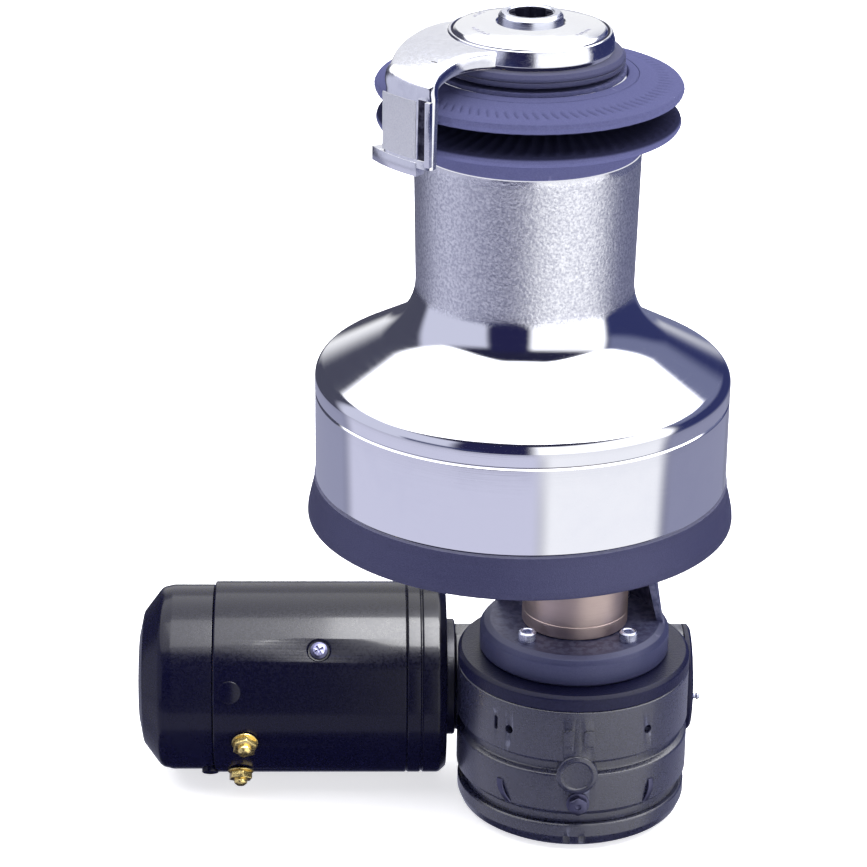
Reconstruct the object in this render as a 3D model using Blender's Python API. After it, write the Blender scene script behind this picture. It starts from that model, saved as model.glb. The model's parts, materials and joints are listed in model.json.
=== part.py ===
"""Electric self-tailing sailboat winch, in metres, +Z up along the drum.

The origin is the centre of the base underside, which is the deck plane. The motor lies along -X under the
deck, and the drive comes up through the deck on an axis that is offset to +X.
"""

import math

import bmesh
import bpy
from mathutils import Matrix, Vector
from mathutils.geometry import tessellate_polygon

MM = 0.001

# Driving dimensions
GAP = 0.3 * MM                 # between two pieces that touch or are pressed together
RUNNING = 0.4 * MM             # round a piece that turns or slides
LARGE_ROUND = 32               # sides of the drum, jaws and casings; a multiple of four
MEDIUM_ROUND = 20              # sides of tubes, caps and hubs
SMALL_ROUND = 12               # sides of shafts and holes
MODULE = 2.5 * MM              # of every gear
ADDENDUM = 0.9 * MODULE
DEDENDUM = 1.25 * MODULE
TOOTH_SHARE = 0.42             # part of the pitch that a tooth takes
PRESSURE_ANGLE = 20.0

BASE_HEIGHT = 24.3 * MM
BASE_FLARE = 3.9 * MM          # how far the foot of the skirt stands out past its top
BASE_LIP = 0.5 * MM            # how far the skirt's top stands out past the drum
BASE_FLOOR = 8.0 * MM          # thickness of the plate that sits on the deck
BASE_WALL = 5.0 * MM
DECK_BOLT_COUNT = 6
DECK_BOLT_INSET = 22.0 * MM    # from the edge of the base
DECK_BOLT_HOLE = 4.3 * MM

DRUM_RADIUS = 122.6 * MM       # wall of the drum's foot
DRUM_WALL = 10.8 * MM
DRUM_LIFT = 0.9 * MM           # between the skirt and the drum
DRUM_GROOVE = 79.0 * MM
DRUM_SHOULDER = 96.9 * MM      # where the wall turns into the cone
SHOULDER_INSET = 7.0 * MM
NECK_FOOT = 142.0 * MM         # where the cone's fillet ends
NECK_FOOT_RADIUS = 63.9 * MM
NECK_TOP = 228.8 * MM
NECK_TOP_RADIUS = 65.7 * MM
CONE_CURVE = ((1.0, 0.0), (0.32, 0.44), (0.15, 0.61), (0.04, 0.80), (0.0, 1.0))   # shares across and up

STEM_RADIUS = 38.0 * MM
STEM_STEP = 2.0 * MM           # how much thinner it is above the drum
STEM_BORE = 22.0 * MM
STEM_FLANGE = 7.7 * MM
STEM_FLANGE_WIDTH = 8.0 * MM
BEARING_RADIUS = 8.6 * MM      # radial room for a drum bearing
BEARING_LENGTH = 20.0 * MM
BEARING_INSET = 28.8 * MM      # foot of the upper bearing, below the top of the neck
SLEEVE_RADIUS = 48.0 * MM      # spigot of the drum that the jaws sit on

LOWER_JAW_RADIUS = 87.5 * MM
LOWER_JAW_HEIGHT = 25.7 * MM
COLLAR_HEIGHT = 9.2 * MM       # plain collar of the lower jaw, above the neck
JAW_GAP = 4.0 * MM             # between the jaws at their roots
JAW_ROOT = 60.0 * MM           # radius out to which the jaws are flat
UPPER_JAW_RADIUS = 88.7 * MM
UPPER_JAW_HEIGHT = 16.3 * MM
SPRING_ROOM = 6.6 * MM         # depth of the wave spring's pocket
SPRING_WIDTH = 8.2 * MM
SPRING_STRIP = 0.9 * MM
JAW_LIFT = 2.5 * MM            # travel of the sprung upper jaw
SPRING_WAVES = 4

STRIPPER_RADIUS = 54.5 * MM
STRIPPER_CLEARANCE = 1.7 * MM  # over the upper jaw when it is lifted
STRIPPER_HEIGHT = 7.4 * MM
HUB_RADIUS = 48.5 * MM         # hub of the self-tailing arm
HUB_HEIGHT = 11.5 * MM
HUB_FLOOR = 8.5 * MM           # thickness of the hub under the cap
CAP_RADIUS = 44.7 * MM
CAP_RISE = 4.6 * MM
CAP_BORE = 19.2 * MM

GUIDE_RADIUS = 92.6 * MM       # inside of the arm's hanging guide, just outside the jaws
GUIDE_THICKNESS = 7.4 * MM
GUIDE_ANGLES = (212.5, 234.0)  # degrees about the drum axis
GUIDE_DROP = 14.5 * MM         # below the lower jaw's rope face
BLADE_THICKNESS = 9.0 * MM
BLADE_FALL = 8.6 * MM          # how far the blade drops from the hub to its tip
FOOT_ANGLES = (206.0, 228.5)
FOOT_HEIGHT = 5.0 * MM
FOOT_STEP = 0.8 * MM
PANEL_THICKNESS = 1.3 * MM
PANEL_MARGIN = 5.0 * MM

SPINDLE_RADIUS = 11.0 * MM
SPINDLE_UPPER_RADIUS = 14.0 * MM
SPINDLE_LIFT = 2.0 * MM        # above the base's floor
COLLAR_RADIUS = 18.5 * MM
COLLAR_RISE = 5.7 * MM         # above the cap
SOCKET_SQUARE = 17.46 * MM     # two squares of this side make the eight-point handle socket
SOCKET_DEPTH = 34.0 * MM
SPINDLE_BEARING = (28.0 * MM, 10.0 * MM)   # its foot and its top, below the top of the stem

LOW_GEARS = (12.0 * MM, 24.0 * MM)         # height of the handle's gear pair
HIGH_GEARS = (29.0 * MM, 45.0 * MM)        # height of the gears inside the drum's ring gear
RING_OVERHANG = 1.0 * MM                   # how far the ring gear stands past them, up and down
HOUSING_PLATE = (50.0 * MM, 58.0 * MM)
HOUSING_RADIUS = 88.0 * MM
HOUSING_LEG_RADIUS = 8.0 * MM
HOUSING_LEG_ANGLES = (60, 120, 240, 300)
GEAR_SHAFT_RADIUS = 7.0 * MM
CLUTCH_WALL = 4.0 * MM

RING_TEETH = 80
PINION_TEETH = 16
IDLER_TEETH = 18
LAY_HIGH_TEETH = 30
SPINDLE_TEETH = 18
WHEEL_TEETH = 24
RATCHET_TEETH = 12

PAWL_COUNT = 2
RATCHET_TIP = 15.6 * MM
RATCHET_ROOT = 17.6 * MM
PAWL_HEIGHT = 9.0 * MM
PAWL_CARRIER_RADIUS = 12.6 * MM

SHAFT_RADIUS = 8.0 * MM        # output shaft, motor shaft and worm shaft
WORM_PITCH_RADIUS = 12.0 * MM
WORM_THREAD = 48.0 * MM        # length of the worm's thread
WORM_WHEEL_WIDTH = 12.0 * MM
WORM_DROP = 42.5 * MM          # worm's axis, below the foot of the flange

TUBE_RADIUS = 32.0 * MM
TUBE_WALL = 6.0 * MM
TUBE_DROP = 71.7 * MM          # how far the flange hangs below the deck plane
FLANGE_RADIUS = 57.5 * MM
FLANGE_HEIGHT = 18.3 * MM
FLANGE_BOLT_CIRCLE = 43.0 * MM
FLANGE_BOLT_RADIUS = 4.0 * MM
FLANGE_BOLT_COUNT = 4
BOLT_HEAD_RADIUS = 5.4 * MM
BOLT_HEAD_HEIGHT = 6.0 * MM
WEB_HEIGHT = 49.7 * MM         # of the stiffening web behind the tube
WEB_ANGLES = (-5, 150)
WEB_LEAN = 0.86
GEARBOX_RADIUS = 70.6 * MM
GEARBOX_WALL = 8.0 * MM
COVER_HEIGHT = 9.7 * MM
HOUSING_HEIGHT = 75.7 * MM
GROOVE_DEPTH = 4.0 * MM
GROOVE_DROP = 37.7 * MM        # middle of the housing's groove, below its top
CAP_HEIGHT = 18.7 * MM
SEAT_RADIUS = 19.0 * MM        # bearing seats on the output shaft
SEAT_DEPTH = 10.0 * MM
DRAIN_RADIUS = 7.0 * MM
DRAIN_RISE = 15.0 * MM         # above the foot of the housing

TUNNEL_RADIUS = 33.0 * MM      # worm tunnel across the back of the gearbox
TUNNEL_BORE = 24.4 * MM
TUNNEL_REACH = 71.0 * MM       # its end, past the output shaft
WORM_BEARING_LENGTH = 13.0 * MM
END_CAP_HEIGHT = 4.5 * MM
ADAPTER_RADIUS = 36.0 * MM
ADAPTER_LENGTH = 6.0 * MM

MOTOR_RADIUS = 59.5 * MM
MOTOR_WALL = 5.0 * MM
MOTOR_FRONT_CAP = 24.3 * MM
MOTOR_CASE = 118.5 * MM
MOTOR_REAR_CAP = 46.7 * MM
MOTOR_GROOVE = 9.8 * MM         # from the front cap's seam to the groove round it
REAR_CAP_INSET = 2.0 * MM      # how much smaller the rear cap is than the case
REAR_FACE = 28.0 * MM          # flat middle of the rear cap
SHAFT_END_GAP = 0.3 * MM       # between the motor's shaft and the worm's
POLE_COUNT = 4
POLE_LENGTH = 84.0 * MM
ARMATURE_RADIUS = 42.0 * MM
ARMATURE_LENGTH = 76.0 * MM
ARMATURE_SLOTS = 12
COMMUTATOR_RADIUS = 18.0 * MM
COMMUTATOR_LENGTH = 26.0 * MM
COMMUTATOR_BARS = 16
BRUSH_WIDTH = 10.0 * MM
TERMINALS = ((-15.7, 19.7 * MM), (-46.0, 17.4 * MM))   # degrees above the horizontal, and from the rear seam

# Values worked out from them
BASE_TOP_RADIUS = DRUM_RADIUS + BASE_LIP
BASE_RADIUS = BASE_TOP_RADIUS + BASE_FLARE
DECK_BOLT_CIRCLE = BASE_RADIUS - DECK_BOLT_INSET
DRUM_BOTTOM = BASE_HEIGHT + DRUM_LIFT
STEM_TOP_RADIUS = STEM_RADIUS - STEM_STEP
JAW_FLOOR = NECK_TOP + LOWER_JAW_HEIGHT
JAW_ROOF = JAW_FLOOR + JAW_GAP
JAW_CROWN = JAW_ROOF + UPPER_JAW_HEIGHT
JAW_SEAT = JAW_CROWN - SPRING_ROOM
SLEEVE_TOP = JAW_CROWN - 3 * GAP
STRIPPER_BOTTOM = JAW_CROWN + JAW_LIFT + STRIPPER_CLEARANCE
HUB_BOTTOM = STRIPPER_BOTTOM + STRIPPER_HEIGHT + GAP
HUB_TOP = HUB_BOTTOM + HUB_HEIGHT
CAP_SEAT = HUB_BOTTOM + HUB_FLOOR
STEM_TOP = CAP_SEAT - 1.2 * MM
CAP_TOP = HUB_TOP + CAP_RISE
COLLAR_TOP = CAP_TOP + COLLAR_RISE
GUIDE_BOTTOM = JAW_FLOOR - GUIDE_DROP
LAY_LOW_TEETH = RING_TEETH - LAY_HIGH_TEETH - SPINDLE_TEETH
FLANGE_TOP = -TUBE_DROP
FLANGE_BOTTOM = FLANGE_TOP - FLANGE_HEIGHT
COVER_BOTTOM = FLANGE_BOTTOM - GAP - COVER_HEIGHT
HOUSING_TOP = COVER_BOTTOM - GAP
HOUSING_BOTTOM = HOUSING_TOP - HOUSING_HEIGHT
CAP_FLOOR = HOUSING_BOTTOM - GAP - CAP_HEIGHT
WORM_AXIS_Z = FLANGE_BOTTOM - WORM_DROP
PITCH = math.pi * MODULE


def pitchRadius(teeth):
    return teeth * MODULE / 2


DRIVE_X = pitchRadius(RING_TEETH) - 2 * pitchRadius(IDLER_TEETH) - pitchRadius(PINION_TEETH)
IDLER_X = pitchRadius(RING_TEETH) - pitchRadius(IDLER_TEETH)
LAY_X = -(pitchRadius(RING_TEETH) - pitchRadius(LAY_HIGH_TEETH))
DRIVE_AXIS = (DRIVE_X, 0.0)
IDLER_AXIS = (IDLER_X, 0.0)
LAY_AXIS = (LAY_X, 0.0)
WORM_Y = pitchRadius(WHEEL_TEETH) + WORM_PITCH_RADIUS
BEARING_SEAT = STEM_RADIUS + BEARING_RADIUS + RUNNING
LOWER_BEARING = DRUM_SHOULDER - 8.9 * MM
UPPER_BEARING = NECK_TOP - BEARING_INSET
ADAPTER_START = DRIVE_X - GEARBOX_RADIUS - RUNNING
MOTOR_FRONT = ADAPTER_START - ADAPTER_LENGTH
MOTOR_FRONT_SEAM = MOTOR_FRONT - MOTOR_FRONT_CAP
MOTOR_REAR_SEAM = MOTOR_FRONT_SEAM - MOTOR_CASE - 2 * GAP
MOTOR_BACK = MOTOR_REAR_SEAM - MOTOR_REAR_CAP
TUNNEL_END = DRIVE_X + TUNNEL_REACH
WORM_START = DRIVE_X - WORM_THREAD / 2
WORM_END = DRIVE_X + WORM_THREAD / 2

for leftover in list(bpy.data.objects):
    bpy.data.objects.remove(leftover, do_unlink=True)


# Tools
def material(name, colour, roughness, metallic):
    made = bpy.data.materials.new(name)
    made.use_nodes = True
    shader = made.node_tree.nodes["Principled BSDF"]
    shader.inputs["Base Color"].default_value = (*colour, 1.0)
    shader.inputs["Roughness"].default_value = roughness
    shader.inputs["Metallic"].default_value = metallic
    return made


CHROME = material("chrome", (0.80, 0.81, 0.84), 0.10, 1.0)
DARK_ALLOY = material("dark_anodised", (0.14, 0.15, 0.24), 0.45, 0.7)
GREY_ALLOY = material("grey_anodised", (0.33, 0.35, 0.47), 0.35, 0.8)
GREY_PANEL = material("grey_plastic", (0.55, 0.56, 0.64), 0.60, 0.0)
BRONZE = material("bronze", (0.52, 0.40, 0.34), 0.35, 1.0)
STEEL = material("steel", (0.55, 0.56, 0.58), 0.30, 1.0)
SPRING_STEEL = material("spring_steel", (0.35, 0.36, 0.38), 0.30, 1.0)
BLACK_PAINT = material("black_paint", (0.02, 0.02, 0.03), 0.22, 0.2)
BLACK_CASTING = material("black_casting", (0.04, 0.04, 0.06), 0.40, 0.5)
BRASS = material("brass", (0.75, 0.58, 0.25), 0.25, 1.0)
COPPER = material("copper", (0.70, 0.38, 0.25), 0.35, 1.0)
CARBON = material("carbon", (0.05, 0.05, 0.05), 0.70, 0.0)


def objectFrom(name, bm, finish):
    bmesh.ops.recalc_face_normals(bm, faces=bm.faces)
    mesh = bpy.data.meshes.new(name)
    bm.to_mesh(mesh)
    bm.free()
    mesh.shade_smooth()
    mesh.set_sharp_from_angle(angle=math.radians(30))
    made = bpy.data.objects.new(name, mesh)
    bpy.context.scene.collection.objects.link(made)
    if finish:
        mesh.materials.append(finish)
    return made


def placed(made, centre=(0, 0), along="Z"):
    """Puts a shape made about +Z onto its own axis. Along X, its height runs along +X on the worm's axis."""
    if along == "X":
        made.matrix_world = Matrix.Translation((0, WORM_Y, WORM_AXIS_Z)) @ Matrix(
            ((0, 0, 1, 0), (0, 1, 0, 0), (-1, 0, 0, 0), (0, 0, 0, 1)))
    else:
        made.location = (centre[0], centre[1], 0)
    return made


def turned(name, profile, finish, segments=MEDIUM_ROUND, **place):
    """A profile of (radius, height) points swept round. It is closed on itself unless it ends on the axis."""
    bm = bmesh.new()
    rows = []
    for radius, height in profile:
        if radius == 0:
            rows.append([bm.verts.new((0, 0, height))])
            continue
        rows.append([bm.verts.new((radius * math.cos(2 * math.pi * i / segments),
                                   radius * math.sin(2 * math.pi * i / segments), height))
                     for i in range(segments)])
    solid = len(rows[0]) == 1 and len(rows[-1]) == 1
    for row, after in zip(rows, rows[1:] if solid else rows[1:] + rows[:1]):
        for i in range(segments):
            j = (i + 1) % segments
            corners = [row[i % len(row)], row[j % len(row)], after[j % len(after)], after[i % len(after)]]
            bm.faces.new(list(dict.fromkeys(corners)))
    return placed(objectFrom(name, bm, finish), **place)


def circle(radius, segments, centre=(0, 0), phase=0.0):
    return [(centre[0] + radius * math.cos(2 * math.pi * i / segments + phase),
             centre[1] + radius * math.sin(2 * math.pi * i / segments + phase)) for i in range(segments)]


def hole(radius, segments=SMALL_ROUND, centre=(0, 0)):
    """A many-sided hole whose flats, not its corners, are at the radius."""
    return circle(radius / math.cos(math.pi / segments), segments, centre)


def arcBand(inner, outer, start, end, steps, centre=(0, 0)):
    """Outline of a curved plate between two radii and two angles in degrees."""
    angles = [math.radians(start + (end - start) * i / steps) for i in range(steps + 1)]
    return ([(centre[0] + outer * math.cos(a), centre[1] + outer * math.sin(a)) for a in angles]
            + [(centre[0] + inner * math.cos(a), centre[1] + inner * math.sin(a)) for a in reversed(angles)])


def extruded(name, outline, low, high, finish, holes=(), **place):
    """An outline with holes, between two heights."""
    loops = [list(outline)] + [list(hole) for hole in holes]
    bm = bmesh.new()
    bottom = [[bm.verts.new((x, y, low)) for x, y in loop] for loop in loops]
    top = [[bm.verts.new((x, y, high)) for x, y in loop] for loop in loops]
    flat = [vert for loop in bottom for vert in loop]
    flatTop = [vert for loop in top for vert in loop]
    for a, b, c in tessellate_polygon([[Vector((x, y, 0)) for x, y in loop] for loop in loops]):
        bm.faces.new((flat[a], flat[b], flat[c]))
        bm.faces.new((flatTop[a], flatTop[c], flatTop[b]))
    for below, above in zip(bottom, top):
        for i in range(len(below)):
            j = (i + 1) % len(below)
            bm.faces.new((below[i], below[j], above[j], above[i]))
    return placed(objectFrom(name, bm, finish), **place)


def combine(made, other, operation, solver="EXACT"):
    other.hide_render = True
    other.display_type = "WIRE"
    modifier = made.modifiers.new(operation.lower(), "BOOLEAN")
    modifier.operation = operation
    modifier.solver = solver
    modifier.object = other
    return made


def cut(made, *cutters, solver="EXACT"):
    for cutter in cutters:
        combine(made, cutter, "DIFFERENCE", solver)
    return made


def joined(made, *others):
    for other in others:
        combine(made, other, "UNION")
    return made


def drill(spot, radius, low, high, segments=SMALL_ROUND, **place):
    return extruded("drill", hole(radius, segments, spot), low, high, None, **place)


def gearOutline(teeth, tip, root, share, phase):
    """Straight-flanked teeth: share is a tooth's part of the pitch, and phase the angle of its middle."""
    step = 2 * math.pi / teeth
    middle = pitchRadius(teeth)
    tan = math.tan(math.radians(PRESSURE_ANGLE))
    half = share * step / 2
    points = []
    for i in range(teeth):
        angle = phase + i * step
        for radius, side in ((root, -1), (tip, -1), (tip, 1), (root, 1)):
            lean = half - (radius - middle) * tan / middle
            points.append((radius * math.cos(angle + side * lean), radius * math.sin(angle + side * lean)))
    return points


def gear(teeth, phase=0.0):
    middle = pitchRadius(teeth)
    return gearOutline(teeth, middle + ADDENDUM, middle - DEDENDUM, TOOTH_SHARE, phase)


def rollerCage(name, inner, outer, low, high, rollers, finish, **place):
    """A bearing of rollers in a cage: the rollers stand out round the cage as flutes."""
    outline = []
    for i in range(rollers):
        for offset, radius in ((-0.2, outer), (0.2, outer), (0.5, outer - 0.2 * (outer - inner))):
            angle = 2 * math.pi * (i + offset) / rollers
            outline.append((radius * math.cos(angle), radius * math.sin(angle)))
    sides = MEDIUM_ROUND if inner > 20 * MM else SMALL_ROUND
    return extruded(name, outline, low, high, finish, [hole(inner, sides)], **place)


# Above the deck: base, gear housing and stem
def baseRing():
    inside = BASE_TOP_RADIUS - BASE_WALL
    base = turned("base_ring", [
        (0, 0), (BASE_RADIUS, 0), (BASE_RADIUS, 0.16 * BASE_HEIGHT),
        (BASE_TOP_RADIUS + 0.5 * (BASE_RADIUS - BASE_TOP_RADIUS), 0.52 * BASE_HEIGHT),
        (BASE_TOP_RADIUS, 0.85 * BASE_HEIGHT), (BASE_TOP_RADIUS, BASE_HEIGHT),
        (inside, BASE_HEIGHT), (inside, BASE_FLOOR), (0, BASE_FLOOR)], DARK_ALLOY, LARGE_ROUND)
    below, above = -5 * MM, BASE_FLOOR + 5 * MM
    pocket = 0.25 * BASE_FLOOR
    holes = [drill(DRIVE_AXIS, TUBE_RADIUS + GAP, below, above, MEDIUM_ROUND)]
    for i in range(DECK_BOLT_COUNT):
        angle = 2 * math.pi * (i + 0.5) / DECK_BOLT_COUNT
        spot = (DECK_BOLT_CIRCLE * math.cos(angle), DECK_BOLT_CIRCLE * math.sin(angle))
        holes.append(drill(spot, DECK_BOLT_HOLE, below, above))
    for axis in (IDLER_AXIS, LAY_AXIS):
        holes.append(drill(axis, GEAR_SHAFT_RADIUS + GAP, pocket, above))
    return cut(base, *holes, solver="MANIFOLD")


def gearHousing():
    low, high = HOUSING_PLATE
    holes = [hole(SPINDLE_RADIUS + RUNNING, MEDIUM_ROUND), hole(SHAFT_RADIUS + RUNNING, centre=DRIVE_AXIS),
             hole(GEAR_SHAFT_RADIUS + GAP, centre=IDLER_AXIS), hole(GEAR_SHAFT_RADIUS + GAP, centre=LAY_AXIS)]
    plate = extruded("gear_housing", circle(HOUSING_RADIUS, LARGE_ROUND), low, high, STEEL, holes)
    legs = []
    reach = HOUSING_RADIUS - HOUSING_LEG_RADIUS - MM
    for degrees in HOUSING_LEG_ANGLES:
        angle = math.radians(degrees)
        outline = circle(HOUSING_LEG_RADIUS, SMALL_ROUND, (reach * math.cos(angle), reach * math.sin(angle)))
        legs.append(extruded("leg", outline, BASE_FLOOR + GAP, low + 2 * MM, None))
    return joined(plate, *legs)


def centreStem():
    foot = HOUSING_PLATE[1] + GAP
    edge = STEM_RADIUS + STEM_FLANGE_WIDTH
    step = UPPER_BEARING + BEARING_LENGTH + 6 * MM
    return turned("centre_stem", [
        (STEM_BORE, foot), (edge, foot), (edge, foot + STEM_FLANGE),
        (STEM_RADIUS, foot + STEM_FLANGE + 4 * MM), (STEM_RADIUS, step), (STEM_TOP_RADIUS, step + MM),
        (STEM_TOP_RADIUS, STEM_TOP), (STEM_BORE, STEM_TOP)], STEEL)


def drumBearings():
    inner, outer = STEM_RADIUS + RUNNING, STEM_RADIUS + BEARING_RADIUS
    for name, low in (("drum_bearing_lower", LOWER_BEARING), ("drum_bearing_upper", UPPER_BEARING)):
        rollerCage(name, inner, outer, low, low + BEARING_LENGTH, 14, STEEL)


# Drum, jaws and ring gear
def drum():
    inside = DRUM_RADIUS - DRUM_WALL
    relief = BEARING_SEAT + 5 * MM
    lowSeat = (LOWER_BEARING - 2 * MM, LOWER_BEARING + BEARING_LENGTH + 2 * MM)
    highSeat = (UPPER_BEARING - 2 * MM, UPPER_BEARING + BEARING_LENGTH + 2 * MM)
    sleeveBore = STEM_RADIUS + 2.5 * MM
    shoulder = DRUM_RADIUS - SHOULDER_INSET
    cone = [(NECK_FOOT_RADIUS + across * (shoulder - NECK_FOOT_RADIUS),
             DRUM_SHOULDER + up * (NECK_FOOT - DRUM_SHOULDER)) for across, up in CONE_CURVE]
    outer = [
        (DRUM_RADIUS, DRUM_BOTTOM), (DRUM_RADIUS, DRUM_GROOVE - 0.8 * MM), (DRUM_RADIUS - MM, DRUM_GROOVE),
        (DRUM_RADIUS, DRUM_GROOVE + 0.8 * MM), (DRUM_RADIUS, DRUM_SHOULDER - 9 * MM),
        (DRUM_RADIUS - 2.4 * MM, DRUM_SHOULDER - 3 * MM), *cone, (NECK_TOP_RADIUS, NECK_TOP)]
    sleeve = [(SLEEVE_RADIUS, NECK_TOP), (SLEEVE_RADIUS, SLEEVE_TOP), (sleeveBore, SLEEVE_TOP),
              (sleeveBore, highSeat[1])]
    bore = [(BEARING_SEAT, highSeat[1]), (BEARING_SEAT, highSeat[0]), (relief, highSeat[0] - 3 * MM),
            (relief, lowSeat[1] + 3 * MM), (BEARING_SEAT, lowSeat[1]), (BEARING_SEAT, lowSeat[0])]
    boss = BEARING_SEAT + 9 * MM
    roof = DRUM_SHOULDER + 7.1 * MM
    cavity = [(boss, lowSeat[0]), (boss + 4 * MM, roof), (inside - 27.8 * MM, roof),
              (inside - 11.8 * MM, DRUM_SHOULDER - 1.9 * MM), (inside - 3.5 * MM, DRUM_SHOULDER - 8.9 * MM),
              (inside, DRUM_SHOULDER - 14.9 * MM), (inside, DRUM_BOTTOM)]
    return turned("drum", outer + sleeve + bore + cavity, CHROME, LARGE_ROUND)


def ringGear():
    teeth = gearOutline(RING_TEETH, pitchRadius(RING_TEETH) + DEDENDUM, pitchRadius(RING_TEETH) - ADDENDUM,
                        1 - TOOTH_SHARE, 0.0)
    outside = DRUM_RADIUS - DRUM_WALL - GAP
    return extruded("ring_gear", circle(outside, LARGE_ROUND), HIGH_GEARS[0] - RING_OVERHANG,
                    HIGH_GEARS[1] + RING_OVERHANG, STEEL, [teeth])


def lowerJaw():
    rim = LOWER_JAW_RADIUS
    bore = SLEEVE_RADIUS + GAP
    foot = NECK_TOP + GAP
    skirt = NECK_TOP + COLLAR_HEIGHT
    edge = JAW_FLOOR - 8.3 * MM
    return turned("lower_jaw", [
        (bore, foot), (NECK_TOP_RADIUS, foot), (NECK_TOP_RADIUS, skirt),
        (NECK_TOP_RADIUS + 3.3 * MM, skirt + 3.4 * MM), (rim - 7 * MM, edge - 3.2 * MM),
        (rim - 1.5 * MM, edge - 2.2 * MM), (rim, edge), (rim - 0.7 * MM, edge + 2.2 * MM),
        (rim - 3.5 * MM, edge + 3.4 * MM), (JAW_ROOT + 6 * MM, JAW_FLOOR - 1.5 * MM), (JAW_ROOT, JAW_FLOOR),
        (bore, JAW_FLOOR)], DARK_ALLOY, LARGE_ROUND)


def upperJaw():
    rim = UPPER_JAW_RADIUS
    bore = SLEEVE_RADIUS + RUNNING
    crown = SLEEVE_RADIUS + SPRING_WIDTH
    edge = JAW_ROOF + 7.7 * MM
    return turned("upper_jaw", [
        (bore, JAW_ROOF), (JAW_ROOT, JAW_ROOF), (JAW_ROOT + 6 * MM, JAW_ROOF + 0.9 * MM),
        (rim - 4.5 * MM, edge - 4.2 * MM), (rim - 1 * MM, edge - 2.8 * MM), (rim, edge),
        (rim - 1.5 * MM, edge + 2.4 * MM), (rim - 5 * MM, edge + 3.3 * MM),
        (crown + 5.8 * MM, JAW_CROWN - 1.2 * MM), (crown, JAW_CROWN), (crown, JAW_SEAT), (bore, JAW_SEAT)],
        DARK_ALLOY, LARGE_ROUND)


def jawSpring():
    """A wave washer: a flat strip round the sleeve, rising and falling."""
    inner, outer = SLEEVE_RADIUS + 1.2 * MM, SLEEVE_RADIUS + SPRING_WIDTH - MM
    low, high = JAW_SEAT + GAP, SLEEVE_TOP
    middle, swing = (low + high) / 2, (high - low - SPRING_STRIP) / 2
    steps = 9 * SPRING_WAVES
    bm = bmesh.new()
    rings = []
    for i in range(steps):
        angle = 2 * math.pi * i / steps
        height = middle + swing * math.sin(SPRING_WAVES * angle)
        rings.append([bm.verts.new((r * math.cos(angle), r * math.sin(angle), height + half))
                      for r, half in ((inner, -SPRING_STRIP / 2), (outer, -SPRING_STRIP / 2),
                                      (outer, SPRING_STRIP / 2), (inner, SPRING_STRIP / 2))])
    for ring, after in zip(rings, rings[1:] + rings[:1]):
        for i in range(4):
            j = (i + 1) % 4
            bm.faces.new((ring[i], ring[j], after[j], after[i]))
    return objectFrom("jaw_spring", bm, SPRING_STEEL)


def springRetainer():
    low, high = SLEEVE_TOP + GAP, STRIPPER_BOTTOM - STRIPPER_CLEARANCE - 0.7 * MM
    outline = circle(SLEEVE_RADIUS + SPRING_WIDTH - 2 * RUNNING, LARGE_ROUND)
    return extruded("spring_retainer", outline, low, high, STEEL, [hole(STEM_RADIUS + 3 * MM, MEDIUM_ROUND)])


# Stripper, self-tailing arm and cap
def stripperRing():
    foot, top = STRIPPER_BOTTOM, STRIPPER_BOTTOM + STRIPPER_HEIGHT
    edge = STRIPPER_RADIUS
    bore = STEM_TOP_RADIUS + GAP
    return turned("stripper_ring", [
        (bore, foot), (edge - MM, foot), (edge, foot + MM), (edge, top - 2 * MM), (edge - 2 * MM, top),
        (bore, top)], GREY_ALLOY, LARGE_ROUND)


def aroundDrum(radius, degrees):
    return (radius * math.cos(math.radians(degrees)), radius * math.sin(math.radians(degrees)))


def tailingArm():
    """The hub, the blade that reaches over the jaws and falls towards its tip, the guide and its foot."""
    bore = STEM_TOP_RADIUS + GAP
    socket = CAP_RADIUS + GAP
    hub = turned("self_tailing_arm", [
        (bore, HUB_BOTTOM), (HUB_RADIUS - MM, HUB_BOTTOM), (HUB_RADIUS, HUB_BOTTOM + 2 * MM),
        (HUB_RADIUS - 0.6 * MM, HUB_BOTTOM + 6 * MM), (socket + 1.3 * MM, HUB_TOP), (socket, HUB_TOP),
        (socket, CAP_SEAT), (bore, CAP_SEAT)], CHROME, LARGE_ROUND)
    outside = GUIDE_RADIUS + GUIDE_THICKNESS
    start, end = GUIDE_ANGLES
    tip = arcBand(GUIDE_RADIUS, outside, start, end, 6)[:7]
    reach = HUB_RADIUS - MM
    back = [aroundDrum(radius, degrees) for radius, degrees in (
        (reach, 150), (HUB_RADIUS + 8 * MM, 160), (HUB_RADIUS + 14 * MM, 174), (HUB_RADIUS + 25 * MM, 189),
        (outside - 12 * MM, 205))]
    front = [aroundDrum(radius, degrees) for radius, degrees in (
        (outside - 19 * MM, 236.5), (HUB_RADIUS + 12 * MM, 237.5), (reach, 243))]
    clear = [aroundDrum(socket + MM, degrees) for degrees in (215, 186, 167)]
    top = HUB_TOP - 1.2 * MM
    blade = extruded("blade", back + tip + front + clear, top - BLADE_THICKNESS, top, None)
    for vertex in blade.data.vertices:
        out = (vertex.co.xy.length - HUB_RADIUS) / (outside - HUB_RADIUS)
        vertex.co.z -= BLADE_FALL * max(0.0, out) ** 1.5
    guide = extruded("guide", arcBand(GUIDE_RADIUS, outside, start, end, 6), GUIDE_BOTTOM,
                     top - BLADE_FALL - BLADE_THICKNESS / 2, None)
    foot = extruded("foot", arcBand(GUIDE_RADIUS + MM, outside + FOOT_STEP, *FOOT_ANGLES, 6),
                    GUIDE_BOTTOM - FOOT_HEIGHT, GUIDE_BOTTOM + 3 * MM, None)
    return joined(hub, blade, guide, foot)


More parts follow.
